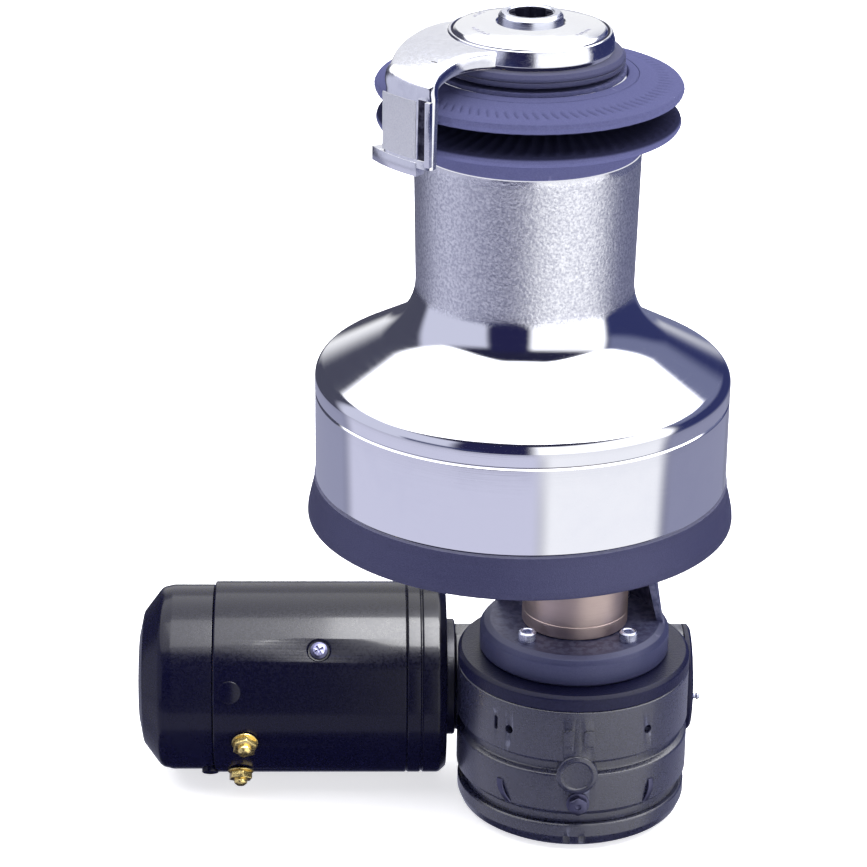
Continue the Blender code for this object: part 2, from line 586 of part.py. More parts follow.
def guidePanel():
    start = GUIDE_RADIUS + GUIDE_THICKNESS + GAP
    outline = arcBand(start, start + PANEL_THICKNESS, GUIDE_ANGLES[0] + 2, GUIDE_ANGLES[1] - 6, 6)
    return extruded("guide_panel", outline, GUIDE_BOTTOM + PANEL_MARGIN,
                    HUB_TOP - BLADE_FALL - BLADE_THICKNESS - PANEL_MARGIN / 2, GREY_PANEL)


def topCap():
    edge = HUB_TOP + 0.4 * MM
    return turned("top_cap", [
        (CAP_BORE, CAP_SEAT + GAP), (CAP_RADIUS - MM, CAP_SEAT + GAP), (CAP_RADIUS, edge),
        (CAP_RADIUS - MM, edge + 0.8 * MM), (CAP_RADIUS - 12.7 * MM, CAP_TOP - 1.2 * MM),
        (CAP_BORE + 2 * MM, CAP_TOP), (CAP_BORE, CAP_TOP)], CHROME, LARGE_ROUND)


# Gears inside the drum
def gearTrain():
    bore = hole(GEAR_SHAFT_RADIUS + RUNNING)
    extruded("idler_gear", gear(IDLER_TEETH), *HIGH_GEARS, STEEL, [bore], centre=IDLER_AXIS)
    half = math.pi / PINION_TEETH
    extruded("drive_pinion", gear(PINION_TEETH, half), *HIGH_GEARS, STEEL,
             [hole(SHAFT_RADIUS + CLUTCH_WALL + GAP, MEDIUM_ROUND)], centre=DRIVE_AXIS)
    rollerCage("pinion_clutch", SHAFT_RADIUS + GAP, SHAFT_RADIUS + CLUTCH_WALL, HIGH_GEARS[0] + MM,
               HIGH_GEARS[1] - MM, 8, STEEL, centre=DRIVE_AXIS)
    foot, top = 0.25 * BASE_FLOOR + GAP, HOUSING_PLATE[1] - GAP
    for name, axis in (("idler_shaft", IDLER_AXIS), ("lay_shaft", LAY_AXIS)):
        turned(name, [(0, foot), (GEAR_SHAFT_RADIUS, foot), (GEAR_SHAFT_RADIUS, top - MM),
                      (GEAR_SHAFT_RADIUS - MM, top), (0, top)], STEEL, SMALL_ROUND, centre=axis)
    lay = extruded("lay_gear", gear(LAY_HIGH_TEETH), *HIGH_GEARS, STEEL, centre=LAY_AXIS)
    low = extruded("low_wheel", gear(LAY_LOW_TEETH), *LOW_GEARS, None, centre=LAY_AXIS)
    hub = extruded("hub", circle(3 * GEAR_SHAFT_RADIUS, MEDIUM_ROUND), LOW_GEARS[1] - 4 * MM,
                   HIGH_GEARS[0] + 4 * MM, None, centre=LAY_AXIS)
    shaftWay = drill((0, 0), GEAR_SHAFT_RADIUS + RUNNING, 0, HOUSING_PLATE[1], centre=LAY_AXIS)
    cut(joined(lay, hub, low), shaftWay)


def ratchetTrack():
    """Inside of the handle's gear: spaces that the pawls drop into."""
    step = 2 * math.pi / RATCHET_TEETH
    middle = math.radians(6.2)
    points = []
    for i in range(RATCHET_TEETH):
        for offset, radius in ((-0.36, RATCHET_TIP), (-0.33, RATCHET_ROOT), (0.33, RATCHET_ROOT),
                               (0.36, RATCHET_TIP)):
            angle = middle + (i + offset) * step
            points.append((radius * math.cos(angle), radius * math.sin(angle)))
    return points


def spindleGear():
    half = math.pi / SPINDLE_TEETH
    return extruded("spindle_gear", gear(SPINDLE_TEETH, half), *LOW_GEARS, STEEL, [ratchetTrack()])


def turnedAbout(points, angle):
    return [(x * math.cos(angle) - y * math.sin(angle), x * math.sin(angle) + y * math.cos(angle))
            for x, y in points]


PAWL_PIVOT = (10.2 * MM, -4.0 * MM)
PAWL_OUTLINE = [(14.3 * MM, 4.6 * MM), (11.4 * MM, 4.9 * MM), (8.9 * MM, -3.0 * MM), (8.7 * MM, -4.6 * MM),
                (9.6 * MM, -5.6 * MM), (10.9 * MM, -5.6 * MM), (11.8 * MM, -4.7 * MM), (12.3 * MM, -2.0 * MM)]
POCKET_OUTLINE = [(16 * MM, 5.6 * MM), (9.6 * MM, 5.6 * MM), (7.1 * MM, -2.6 * MM), (7.9 * MM, -5.4 * MM),
                  (9.3 * MM, -6.3 * MM), (16 * MM, -6.3 * MM)]
LEAF_OUTLINE = [(10.3 * MM, 4.9 * MM), (9.9 * MM, 4.9 * MM), (7.9 * MM, -1.6 * MM), (8.3 * MM, -1.7 * MM),
                (9.2 * MM, 0.6 * MM), (10.0 * MM, 3.2 * MM)]
PAWL_LOW = LOW_GEARS[0] + (LOW_GEARS[1] - LOW_GEARS[0] - PAWL_HEIGHT) / 2


def pawls():
    for i in range(PAWL_COUNT):
        angle = 2 * math.pi * i / PAWL_COUNT
        pivot = turnedAbout([PAWL_PIVOT], angle)[0]
        outline = [(x - pivot[0], y - pivot[1]) for x, y in turnedAbout(PAWL_OUTLINE, angle)]
        extruded(f"pawl_{i + 1}", outline, PAWL_LOW, PAWL_LOW + PAWL_HEIGHT, STEEL, centre=pivot)
        extruded(f"pawl_spring_{i + 1}", turnedAbout(LEAF_OUTLINE, angle), PAWL_LOW + MM,
                 PAWL_LOW + PAWL_HEIGHT - MM, SPRING_STEEL)


def star(side):
    """Eight-point star of two squares turned 45 degrees from each other."""
    tip = side / math.sqrt(2)
    notch = side / 2 / math.cos(math.radians(22.5))
    return [((tip if i % 2 == 0 else notch) * math.cos(math.radians(22.5 * i)),
             (tip if i % 2 == 0 else notch) * math.sin(math.radians(22.5 * i))) for i in range(16)]


def mainSpindle():
    foot = BASE_FLOOR + SPINDLE_LIFT
    step = HOUSING_PLATE[1] + 4 * MM
    neck = COLLAR_TOP - 11 * MM
    spindle = turned("main_spindle", [
        (0, foot), (SPINDLE_RADIUS - 2 * MM, foot), (PAWL_CARRIER_RADIUS, foot + MM),
        (PAWL_CARRIER_RADIUS, LOW_GEARS[1] + MM), (SPINDLE_RADIUS, LOW_GEARS[1] + MM), (SPINDLE_RADIUS, step),
        (SPINDLE_UPPER_RADIUS, step + 3 * MM), (SPINDLE_UPPER_RADIUS, neck), (COLLAR_RADIUS - 1.4 * MM, neck),
        (COLLAR_RADIUS, neck + 2 * MM), (COLLAR_RADIUS, COLLAR_TOP - 2.2 * MM),
        (COLLAR_RADIUS - 1.6 * MM, COLLAR_TOP), (0, COLLAR_TOP)], CHROME)
    socket = extruded("socket", star(SOCKET_SQUARE), COLLAR_TOP - SOCKET_DEPTH, COLLAR_TOP + 5 * MM, None)
    low, high = PAWL_LOW - RUNNING, PAWL_LOW + PAWL_HEIGHT + RUNNING
    pockets = [extruded("pocket", turnedAbout(POCKET_OUTLINE, 2 * math.pi * i / PAWL_COUNT), low, high, None)
               for i in range(PAWL_COUNT)]
    return cut(spindle, socket, *pockets, solver="MANIFOLD")


def spindleBearing():
    return rollerCage("spindle_bearing", SPINDLE_UPPER_RADIUS + GAP, STEM_BORE - GAP,
                      STEM_TOP - SPINDLE_BEARING[0], STEM_TOP - SPINDLE_BEARING[1], 10, BRONZE)


# Drive tube, flange and gearbox below the deck
def driveTube():
    bore = TUBE_RADIUS - TUBE_WALL
    low, high = FLANGE_TOP + GAP, BASE_FLOOR - GAP
    return turned("drive_tube", [(bore, low), (TUBE_RADIUS, low), (TUBE_RADIUS, high), (bore, high)],
                  BRONZE, LARGE_ROUND, centre=DRIVE_AXIS)


def driveFlange():
    """The plate under the tube, with a stiffening web that leans in behind it."""
    edge = FLANGE_RADIUS
    flange = turned("drive_flange", [
        (SEAT_RADIUS, FLANGE_BOTTOM), (edge - 1.5 * MM, FLANGE_BOTTOM), (edge, FLANGE_BOTTOM + 1.5 * MM),
        (edge, FLANGE_TOP - 4.3 * MM), (edge - 2 * MM, FLANGE_TOP - 2 * MM),
        (TUBE_RADIUS + 2 * MM, FLANGE_TOP), (SEAT_RADIUS, FLANGE_TOP)], GREY_ALLOY, LARGE_ROUND,
        centre=DRIVE_AXIS)
    web = extruded("web", arcBand(edge - 6.4 * MM, edge - 2.2 * MM, *WEB_ANGLES, 10), FLANGE_TOP - 8 * MM,
                   FLANGE_TOP + WEB_HEIGHT, None, centre=DRIVE_AXIS)
    for vertex in web.data.vertices:
        if vertex.co.z > FLANGE_TOP:
            vertex.co.x *= WEB_LEAN
            vertex.co.y *= WEB_LEAN
    holes = [drill(spot, FLANGE_BOLT_RADIUS + RUNNING, FLANGE_BOTTOM - 5 * MM, FLANGE_TOP + 5 * MM,
                   centre=DRIVE_AXIS) for spot in boltSpots()]
    return cut(joined(flange, web), *holes)


def boltSpots():
    return circle(FLANGE_BOLT_CIRCLE, FLANGE_BOLT_COUNT, phase=math.pi / FLANGE_BOLT_COUNT)


def flangeBolts():
    seat = FLANGE_TOP
    foot, top = FLANGE_BOTTOM + GAP, seat + BOLT_HEAD_HEIGHT
    key = 0.75 * FLANGE_BOLT_RADIUS
    for i, (x, y) in enumerate(boltSpots()):
        turned(f"flange_bolt_{i + 1}", [
            (0, foot), (FLANGE_BOLT_RADIUS, foot), (FLANGE_BOLT_RADIUS, seat), (BOLT_HEAD_RADIUS, seat),
            (BOLT_HEAD_RADIUS, top - MM), (BOLT_HEAD_RADIUS - MM, top), (key, top),
            (key, top - BOLT_HEAD_HEIGHT / 2), (0, top - BOLT_HEAD_HEIGHT / 2)], STEEL, SMALL_ROUND,
            centre=(DRIVE_X + x, y))


def gearboxCover():
    top = FLANGE_BOTTOM - GAP
    return turned("gearbox_cover", [
        (SEAT_RADIUS, COVER_BOTTOM), (GEARBOX_RADIUS, COVER_BOTTOM), (GEARBOX_RADIUS, top - 2 * MM),
        (GEARBOX_RADIUS - 2 * MM, top), (SEAT_RADIUS, top)], BLACK_CASTING, LARGE_ROUND, centre=DRIVE_AXIS)


def gearboxHousing():
    """The round body with two grooves round it, and the worm's tunnel across its back."""
    inside = GEARBOX_RADIUS - GEARBOX_WALL
    groove = GEARBOX_RADIUS - GROOVE_DEPTH
    split = HOUSING_TOP - GROOVE_DROP
    lower = HOUSING_BOTTOM + 9 * MM
    housing = turned("gearbox_housing", [
        (inside, HOUSING_BOTTOM), (groove, HOUSING_BOTTOM), (groove, lower - 2 * MM), (GEARBOX_RADIUS, lower),
        (GEARBOX_RADIUS, split - 4 * MM), (groove, split - 2.5 * MM), (groove, split + 2.5 * MM),
        (GEARBOX_RADIUS, split + 4 * MM), (GEARBOX_RADIUS, HOUSING_TOP), (inside, HOUSING_TOP)],
        BLACK_CASTING, LARGE_ROUND, centre=DRIVE_AXIS)
    past = 5 * MM
    tunnel = extruded("tunnel", circle(TUNNEL_RADIUS, MEDIUM_ROUND), ADAPTER_START, TUNNEL_END, None,
                      along="X")
    cavity = extruded("cavity", hole(inside - 0.5 * MM, LARGE_ROUND), HOUSING_BOTTOM - past,
                      HOUSING_TOP + past, None, centre=DRIVE_AXIS)
    bore = extruded("bore", hole(TUNNEL_BORE, MEDIUM_ROUND), ADAPTER_START - past, TUNNEL_END + past, None,
                    along="X")
    roof = extruded("roof", circle(2 * GEARBOX_RADIUS, SMALL_ROUND), HOUSING_TOP, HOUSING_TOP + TUNNEL_RADIUS,
                    None, centre=DRIVE_AXIS)
    return cut(joined(housing, tunnel), cavity, bore, roof, solver="MANIFOLD")


def bottomCap():
    top = HOUSING_BOTTOM - GAP
    edge = GEARBOX_RADIUS - 0.8 * MM
    return turned("bottom_cap", [
        (0, CAP_FLOOR), (edge - 9 * MM, CAP_FLOOR), (edge - 3 * MM, CAP_FLOOR + 4 * MM),
        (edge, CAP_FLOOR + 10 * MM), (edge, top), (SEAT_RADIUS, top), (SEAT_RADIUS, top - SEAT_DEPTH),
        (0, top - SEAT_DEPTH)], BLACK_CASTING, LARGE_ROUND, centre=DRIVE_AXIS)


def drainPlug():
    plug = turned("drain_plug", [(0, 0), (DRAIN_RADIUS, 0), (DRAIN_RADIUS, 4 * MM),
                                 (DRAIN_RADIUS - 1.5 * MM, 5 * MM), (0, 5 * MM)], STEEL, 6)
    plug.rotation_euler = (math.radians(90), 0, 0)
    plug.location = (DRIVE_X, -(GEARBOX_RADIUS + GAP), HOUSING_BOTTOM + DRAIN_RISE)
    return plug


def outputShaft():
    low, high = HOUSING_BOTTOM - GAP - SEAT_DEPTH + MM, HOUSING_PLATE[1] - MM
    return turned("output_shaft", [
        (0, low), (SHAFT_RADIUS - MM, low), (SHAFT_RADIUS, low + MM), (SHAFT_RADIUS, high - MM),
        (SHAFT_RADIUS - MM, high), (0, high)], STEEL, SMALL_ROUND, centre=DRIVE_AXIS)


def outputBearings():
    inner, outer = SHAFT_RADIUS + GAP, SEAT_RADIUS - GAP
    seats = (("output_bearing_upper", FLANGE_BOTTOM + 2 * MM, 12 * MM),
             ("output_bearing_lower", HOUSING_BOTTOM - SEAT_DEPTH, SEAT_DEPTH - MM))
    for name, low, length in seats:
        rollerCage(name, inner, outer, low, low + length, 10, STEEL, centre=DRIVE_AXIS)


def wormWheel():
    low, high = WORM_AXIS_Z - WORM_WHEEL_WIDTH / 2, WORM_AXIS_Z + WORM_WHEEL_WIDTH / 2
    middle = pitchRadius(WHEEL_TEETH)
    teeth = gearOutline(WHEEL_TEETH, middle + 1.8 * MM, middle - 2.9 * MM, 0.34, math.pi / 2)
    return extruded("worm_wheel", teeth, low, high, BRONZE, [hole(SHAFT_RADIUS + GAP)], centre=DRIVE_AXIS)


def wormShaft():
    """The worm is a shaft whose radius rises on a right-hand thread."""
    start, end = ADAPTER_START + 15 * MM, TUNNEL_END - 6 * MM
    root, tip = WORM_PITCH_RADIUS - 2.6 * MM, WORM_PITCH_RADIUS + 1.8 * MM
    around, along = 12, 36
    flank = 0.36 * (tip - root)
    crest = 0.34 * PITCH

    def radius(x, turn):
        # the space between two threads is centred on the wheel's middle tooth, at the side facing the wheel
        facing = math.pi
        offset = (x - DRIVE_X - PITCH * (turn - facing) / (2 * math.pi) + PITCH / 2) % PITCH - PITCH / 2
        away = PITCH / 2 - abs(offset)
        rise = (crest / 2 + flank - away) / flank
        return root + (tip - root) * min(1.0, max(0.0, rise))

    plain = [start, WORM_START - 2 * MM, WORM_END + 2 * MM, end]
    thread = [WORM_START + WORM_THREAD * i / along for i in range(along + 1)]
    bm = bmesh.new()
    rings = []
    for x in plain[:2] + thread + plain[2:]:
        ring = []
        for i in range(around):
            turn = 2 * math.pi * i / around
            size = SHAFT_RADIUS if x in plain else root if x in (thread[0], thread[-1]) else radius(x, turn)
            y, z = WORM_Y + size * math.cos(turn), WORM_AXIS_Z + size * math.sin(turn)
            ring.append(bm.verts.new((x, y, z)))
        rings.append(ring)
    bm.faces.new(rings[0])
    bm.faces.new(list(reversed(rings[-1])))
    for ring, after in zip(rings, rings[1:]):
        for i in range(around):
            j = (i + 1) % around
            bm.faces.new((ring[i], ring[j], after[j], after[i]))
    bmesh.ops.triangulate(bm, faces=bm.faces)
    return objectFrom("worm_shaft", bm, STEEL)


def wormBearings():
    inner, outer = SHAFT_RADIUS + GAP, TUNNEL_BORE - GAP
    seats = (("worm_bearing_left", WORM_START - 23 * MM), ("worm_bearing_right", WORM_END + 19 * MM))
    for name, low in seats:
        rollerCage(name, inner, outer, low, low + WORM_BEARING_LENGTH, 10, STEEL, along="X")


def wormEndCap():
    start = TUNNEL_END + GAP
    end = start + END_CAP_HEIGHT
    turned("worm_end_cap", [(0, start), (TUNNEL_RADIUS, start), (TUNNEL_RADIUS, end - 2 * MM),
                            (TUNNEL_RADIUS - 2 * MM, end), (0, end)], BLACK_CASTING, MEDIUM_ROUND, along="X")
    nipple = turned("grease_nipple", [(0, 0), (2.8 * MM, 0), (2.8 * MM, 2 * MM), (1.6 * MM, 3 * MM),
                                      (2.2 * MM, 4.6 * MM), (1.2 * MM, 6 * MM), (0, 6 * MM)], STEEL, 10)
    nipple.rotation_euler = (0, math.radians(90), 0)
    nipple.location = (end + GAP, WORM_Y - 0.3 * TUNNEL_RADIUS, WORM_AXIS_Z - 0.27 * TUNNEL_RADIUS)


# Motor
def motorAdapter():
    low, high = MOTOR_FRONT + GAP, ADAPTER_START - GAP
    bore = SHAFT_RADIUS + 10 * MM
    edge = ADAPTER_RADIUS
    turned("motor_adapter", [(bore, low), (edge, low), (edge, high - MM), (edge - MM, high), (bore, high)],
           BLACK_CASTING, MEDIUM_ROUND, along="X")


def motorCase():
    low, high = MOTOR_REAR_SEAM + GAP, MOTOR_FRONT_SEAM - GAP
    inside = MOTOR_RADIUS - MOTOR_WALL
    case = turned("motor_case", [(inside, low), (MOTOR_RADIUS - MM, low), (MOTOR_RADIUS, low + MM),
                                 (MOTOR_RADIUS, high - MM), (MOTOR_RADIUS - MM, high), (inside, high)],
                  BLACK_PAINT, LARGE_ROUND, along="X")
    half = MOTOR_WALL + 7 * MM
    way = [(0, -half), (3.4 * MM, -half), (3.4 * MM, half), (0, half)]
    return cut(case, *[terminalShape("way", spot, way, None) for spot in TERMINALS])


def terminalShape(name, spot, profile, finish):
    """A small turned shape that stands out of the motor's side. Height 0 is on the case's outside."""
    made = turned(name, profile, finish, SMALL_ROUND)
    degrees, forward = spot
    outward = Vector((0, -math.cos(math.radians(degrees)), math.sin(math.radians(degrees))))
    made.rotation_mode = "QUATERNION"
    made.rotation_quaternion = outward.to_track_quat("Z", "Y")
    made.location = Vector((MOTOR_REAR_SEAM + forward, WORM_Y, WORM_AXIS_Z)) + outward * MOTOR_RADIUS
    return made


def terminals():
    foot = -(MOTOR_WALL + 6 * MM)
    for i, spot in enumerate(TERMINALS):
        terminalShape(f"terminal_{i + 1}", spot, [
            (0, foot), (3 * MM, foot), (3 * MM, 0.6 * MM), (6.4 * MM, 0.6 * MM), (6.4 * MM, 6 * MM),
            (3 * MM, 6 * MM), (3 * MM, 11 * MM), (2 * MM, 12 * MM), (0, 12 * MM)], BRASS)


def motorCaps():
    seam, back = MOTOR_REAR_SEAM, MOTOR_BACK
    edge = MOTOR_RADIUS - REAR_CAP_INSET
    wall = MOTOR_WALL - REAR_CAP_INSET + MM
    turned("motor_rear_cap", [
        (0, back), (REAR_FACE, back), (edge - 17 * MM, back + 2.5 * MM), (edge - 2 * MM, back + 13 * MM),
        (edge, back + 16 * MM), (edge, seam), (edge - wall, seam), (edge - wall, back + 20 * MM),
        (SEAT_RADIUS, back + 12 * MM), (SEAT_RADIUS, back + 5 * MM), (0, back + 5 * MM)],
        BLACK_PAINT, LARGE_ROUND, along="X")
    start, front, wide = MOTOR_FRONT_SEAM, MOTOR_FRONT, MOTOR_RADIUS
    groove = start + MOTOR_GROOVE
    turned("motor_front_cap", [
        (SEAT_RADIUS, start), (wide - MM, start), (wide, start + MM), (wide, groove - MM),
        (wide - 1.2 * MM, groove), (wide, groove + MM), (wide, front - 5 * MM),
        (wide - 2 * MM, front - 1.5 * MM),
        (wide - 6 * MM, front), (SEAT_RADIUS, front)], BLACK_PAINT, LARGE_ROUND, along="X")


def polesMiddle():
    """The poles and the armature share one middle, nearer the case's front."""
    return MOTOR_FRONT_SEAM - 11.3 * MM - POLE_LENGTH / 2


def commutatorFoot():
    return MOTOR_REAR_SEAM - 17 * MM


def fieldPoles():
    """A thin yoke with four pole shoes inside it."""
    outside = MOTOR_RADIUS - MOTOR_WALL - GAP
    yoke = outside - 3 * MM
    inside = ARMATURE_RADIUS + 1.2 * MM
    quarter = 2 * math.pi / POLE_COUNT
    points = []
    for i in range(POLE_COUNT):
        centre = i * quarter + quarter / 2
        for offset, radius in ((-0.36, yoke), (-0.34, inside), (-0.12, inside), (0.12, inside),
                               (0.34, inside), (0.36, yoke), (0.44, yoke)):
            angle = centre + offset * quarter
            points.append((radius * math.cos(angle), radius * math.sin(angle)))
    middle = polesMiddle()
    extruded("field_poles", circle(outside, LARGE_ROUND), middle - POLE_LENGTH / 2, middle + POLE_LENGTH / 2,
             COPPER, [points], along="X")


def armature():
    step = 2 * math.pi / ARMATURE_SLOTS
    slot = ARMATURE_RADIUS - 7 * MM
    points = []
    for i in range(ARMATURE_SLOTS):
        for offset, radius in ((-0.36, ARMATURE_RADIUS), (0, ARMATURE_RADIUS), (0.36, ARMATURE_RADIUS),
                               (0.38, slot), (0.62, slot)):
            points.append((radius * math.cos((i + offset) * step), radius * math.sin((i + offset) * step)))
    bore = [hole(SHAFT_RADIUS + GAP)]
    middle = polesMiddle()
    extruded("armature_core", points, middle - ARMATURE_LENGTH / 2, middle + ARMATURE_LENGTH / 2, STEEL, bore,
             along="X")
    bars = []
    for i in range(COMMUTATOR_BARS):
        for offset, radius in ((-0.4, COMMUTATOR_RADIUS), (0.4, COMMUTATOR_RADIUS),
                               (0.5, COMMUTATOR_RADIUS - MM)):
            angle = 2 * math.pi * (i + offset) / COMMUTATOR_BARS
            bars.append((radius * math.cos(angle), radius * math.sin(angle)))
    low = commutatorFoot()
    extruded("commutator", bars, low, low + COMMUTATOR_LENGTH, COPPER, bore, along="X")
    back, end = MOTOR_BACK + 7 * MM, ADAPTER_START + 15 * MM - SHAFT_END_GAP
    turned("motor_shaft", [(0, back), (SHAFT_RADIUS - MM, back), (SHAFT_RADIUS, back + MM),
                           (SHAFT_RADIUS, end), (0, end)], STEEL, SMALL_ROUND, along="X")


def brushes():
    """Two carbon brushes that ride on opposite sides of the commutator."""
    low, high = COMMUTATOR_RADIUS + RUNNING, MOTOR_RADIUS - MOTOR_WALL - 5 * MM
    width = BRUSH_WIDTH / 2
    start = commutatorFoot() + 4 * MM
    for i, side in enumerate((1, -1)):
        outline = [(-width, side * low), (width, side * low), (width, side * high), (-width, side * high)]
        extruded(f"brush_{i + 1}", outline, start, start + BRUSH_WIDTH, CARBON, along="X")


for make in (baseRing, gearHousing, centreStem, drumBearings, drum, ringGear, lowerJaw, upperJaw, jawSpring,
             springRetainer, stripperRing, tailingArm, guidePanel, topCap, gearTrain, spindleGear, pawls,
             mainSpindle, spindleBearing, driveTube, driveFlange, flangeBolts, gearboxCover, gearboxHousing,
             bottomCap, drainPlug, outputShaft, outputBearings, wormWheel, wormShaft, wormBearings,
             wormEndCap, motorAdapter, motorCase, terminals, motorCaps, fieldPoles, armature, brushes):
    make()
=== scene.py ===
import json
import math

import bmesh
import bpy
from mathutils import Matrix, Vector
from mathutils.geometry import tessellate_polygon

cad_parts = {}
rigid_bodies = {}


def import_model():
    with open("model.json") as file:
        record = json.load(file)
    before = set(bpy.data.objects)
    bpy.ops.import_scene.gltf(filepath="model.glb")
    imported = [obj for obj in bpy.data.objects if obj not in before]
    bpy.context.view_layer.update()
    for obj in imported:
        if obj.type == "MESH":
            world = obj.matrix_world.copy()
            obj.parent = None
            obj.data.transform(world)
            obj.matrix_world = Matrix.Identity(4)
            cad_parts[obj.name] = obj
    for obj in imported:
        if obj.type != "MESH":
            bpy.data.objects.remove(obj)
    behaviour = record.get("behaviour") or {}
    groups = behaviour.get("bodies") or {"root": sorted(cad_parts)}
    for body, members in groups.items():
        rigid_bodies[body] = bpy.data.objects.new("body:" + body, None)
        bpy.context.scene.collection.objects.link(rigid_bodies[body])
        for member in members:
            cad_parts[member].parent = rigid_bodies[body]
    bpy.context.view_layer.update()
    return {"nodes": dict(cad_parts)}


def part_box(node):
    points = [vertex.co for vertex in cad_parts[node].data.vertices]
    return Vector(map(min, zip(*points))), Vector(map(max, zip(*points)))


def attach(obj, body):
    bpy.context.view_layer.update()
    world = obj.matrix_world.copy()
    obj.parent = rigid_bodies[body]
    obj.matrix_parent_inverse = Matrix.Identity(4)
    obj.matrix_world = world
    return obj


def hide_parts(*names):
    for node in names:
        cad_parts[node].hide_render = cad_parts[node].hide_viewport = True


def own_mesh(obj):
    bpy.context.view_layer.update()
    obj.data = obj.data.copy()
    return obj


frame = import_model()
mm = 0.001
scene = bpy.context.scene
nodes = frame["nodes"]


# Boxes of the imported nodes, low and high corner
baseLow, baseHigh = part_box("base_ring")
drumLow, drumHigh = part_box("drum")
lowerLow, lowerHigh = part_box("lower_jaw")
upperLow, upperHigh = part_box("upper_jaw")
stripLow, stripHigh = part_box("stripper_ring")
armLow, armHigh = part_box("self_tailing_arm")
capLow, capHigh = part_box("top_cap")
spindleLow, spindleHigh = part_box("main_spindle")
tubeLow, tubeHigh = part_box("drive_tube")
flangeLow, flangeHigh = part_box("drive_flange")
coverLow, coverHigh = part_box("gearbox_cover")
housingLow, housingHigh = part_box("gearbox_housing")
bottomLow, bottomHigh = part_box("bottom_cap")
plugLow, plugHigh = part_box("drain_plug")
endCapLow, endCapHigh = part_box("worm_end_cap")
adapterLow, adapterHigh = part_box("motor_adapter")
caseLow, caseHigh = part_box("motor_case")
rearLow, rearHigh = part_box("motor_rear_cap")
frontLow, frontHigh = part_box("motor_front_cap")

driveX = (tubeLow.x + tubeHigh.x) / 2
driveAxis = Vector((driveX, 0, 0))
upward = Vector((0, 0, 1))
wormY = (caseLow.y + caseHigh.y) / 2
wormZ = (caseLow.z + caseHigh.z) / 2


# Camera
cameraView = dict(azimuth=-1.6, elevation=22.67, roll=0.70, distance=2.022, lens=141.2,
                  aim=(-52.2 * mm, 49.1 * mm))


def makeCamera(view):
    azimuth, elevation = math.radians(view["azimuth"]), math.radians(view["elevation"])
    across, up = view["aim"]
    target = Vector((across * math.cos(azimuth), across * math.sin(azimuth), up))
    away = Vector((math.sin(azimuth) * math.cos(elevation), -math.cos(azimuth) * math.cos(elevation),
                   math.sin(elevation)))
    data = bpy.data.cameras.new("camera")
    data.lens = view["lens"]
    data.sensor_width = 36
    data.clip_end = 50
    camera = bpy.data.objects.new("camera", data)
    scene.collection.objects.link(camera)
    turn = (-away).to_track_quat("-Z", "Y").to_matrix().to_4x4()
    camera.matrix_world = (Matrix.Translation(target + away * view["distance"]) @ turn
                           @ Matrix.Rotation(math.radians(view["roll"]), 4, "Z"))
    scene.camera = camera


makeCamera(cameraView)
print("camera in place")


# Mesh tools
# closes a mesh made about +Z, and stands it on a centre or lays it along the motor's axis
def made(name, bm, finish, along="Z", centre=(0, 0), sharp=35):
    bmesh.ops.remove_doubles(bm, verts=bm.verts, dist=1e-7)
    bmesh.ops.recalc_face_normals(bm, faces=bm.faces)
    if along == "X":
        turn = Matrix(((0, 0, 1, 0), (0, 1, 0, 0), (-1, 0, 0, 0), (0, 0, 0, 1)))
        bm.transform(Matrix.Translation((0, wormY, wormZ)) @ turn)
    else:
        bm.transform(Matrix.Translation((centre[0], centre[1], 0)))
    return newPiece(name, bm, finish, sharp)


def newPiece(name, bm, finish, sharp=35):
    mesh = bpy.data.meshes.new(name)
    bm.to_mesh(mesh)
    bm.free()
    shadeEdges(mesh, sharp)
    piece = bpy.data.objects.new(name, mesh)
    scene.collection.objects.link(piece)
    if finish:
        mesh.materials.append(finish)
    return piece


def removed(piece):
    mesh = piece.data
    bpy.data.objects.remove(piece)
    bpy.data.meshes.remove(mesh)


def shadeEdges(mesh, sharp=35):
    mesh.shade_smooth()
    mesh.set_sharp_from_angle(angle=math.radians(sharp))


# corners of a polyline rounded by arcs; a point is (across, up) or (across, up, fillet)
def rounded(points, steps=6, closed=True):
    result = []
    count = len(points)
    for i, point in enumerate(points):
        here = Vector(point[:2])
        fillet = point[2] if len(point) > 2 else 0
        before = (Vector(points[i - 1][:2]) - here)
        after = (Vector(points[(i + 1) % count][:2]) - here)
        if not fillet or (not closed and i in (0, count - 1)):
            result.append(tuple(here))
            continue
        half = before.angle(after) / 2
        reach = min(fillet / math.tan(half), 0.499 * before.length, 0.499 * after.length)
        fillet = reach * math.tan(half)
        centre = here + (before.normalized() + after.normalized()).normalized() * fillet / math.sin(half)
        start = here + before.normalized() * reach - centre
        end = here + after.normalized() * reach - centre
        turn = start.angle_signed(end)
        for k in range(steps + 1):
            way = start.copy()
            way.rotate(Matrix.Rotation(-turn * k / steps, 2))
            result.append(tuple(centre + way))
    return result


def ringPoint(radius, angle, height):
    return (radius * math.cos(angle), radius * math.sin(angle), height)


def sideways(degrees):
    return Vector(ringPoint(1, math.radians(degrees), 0))


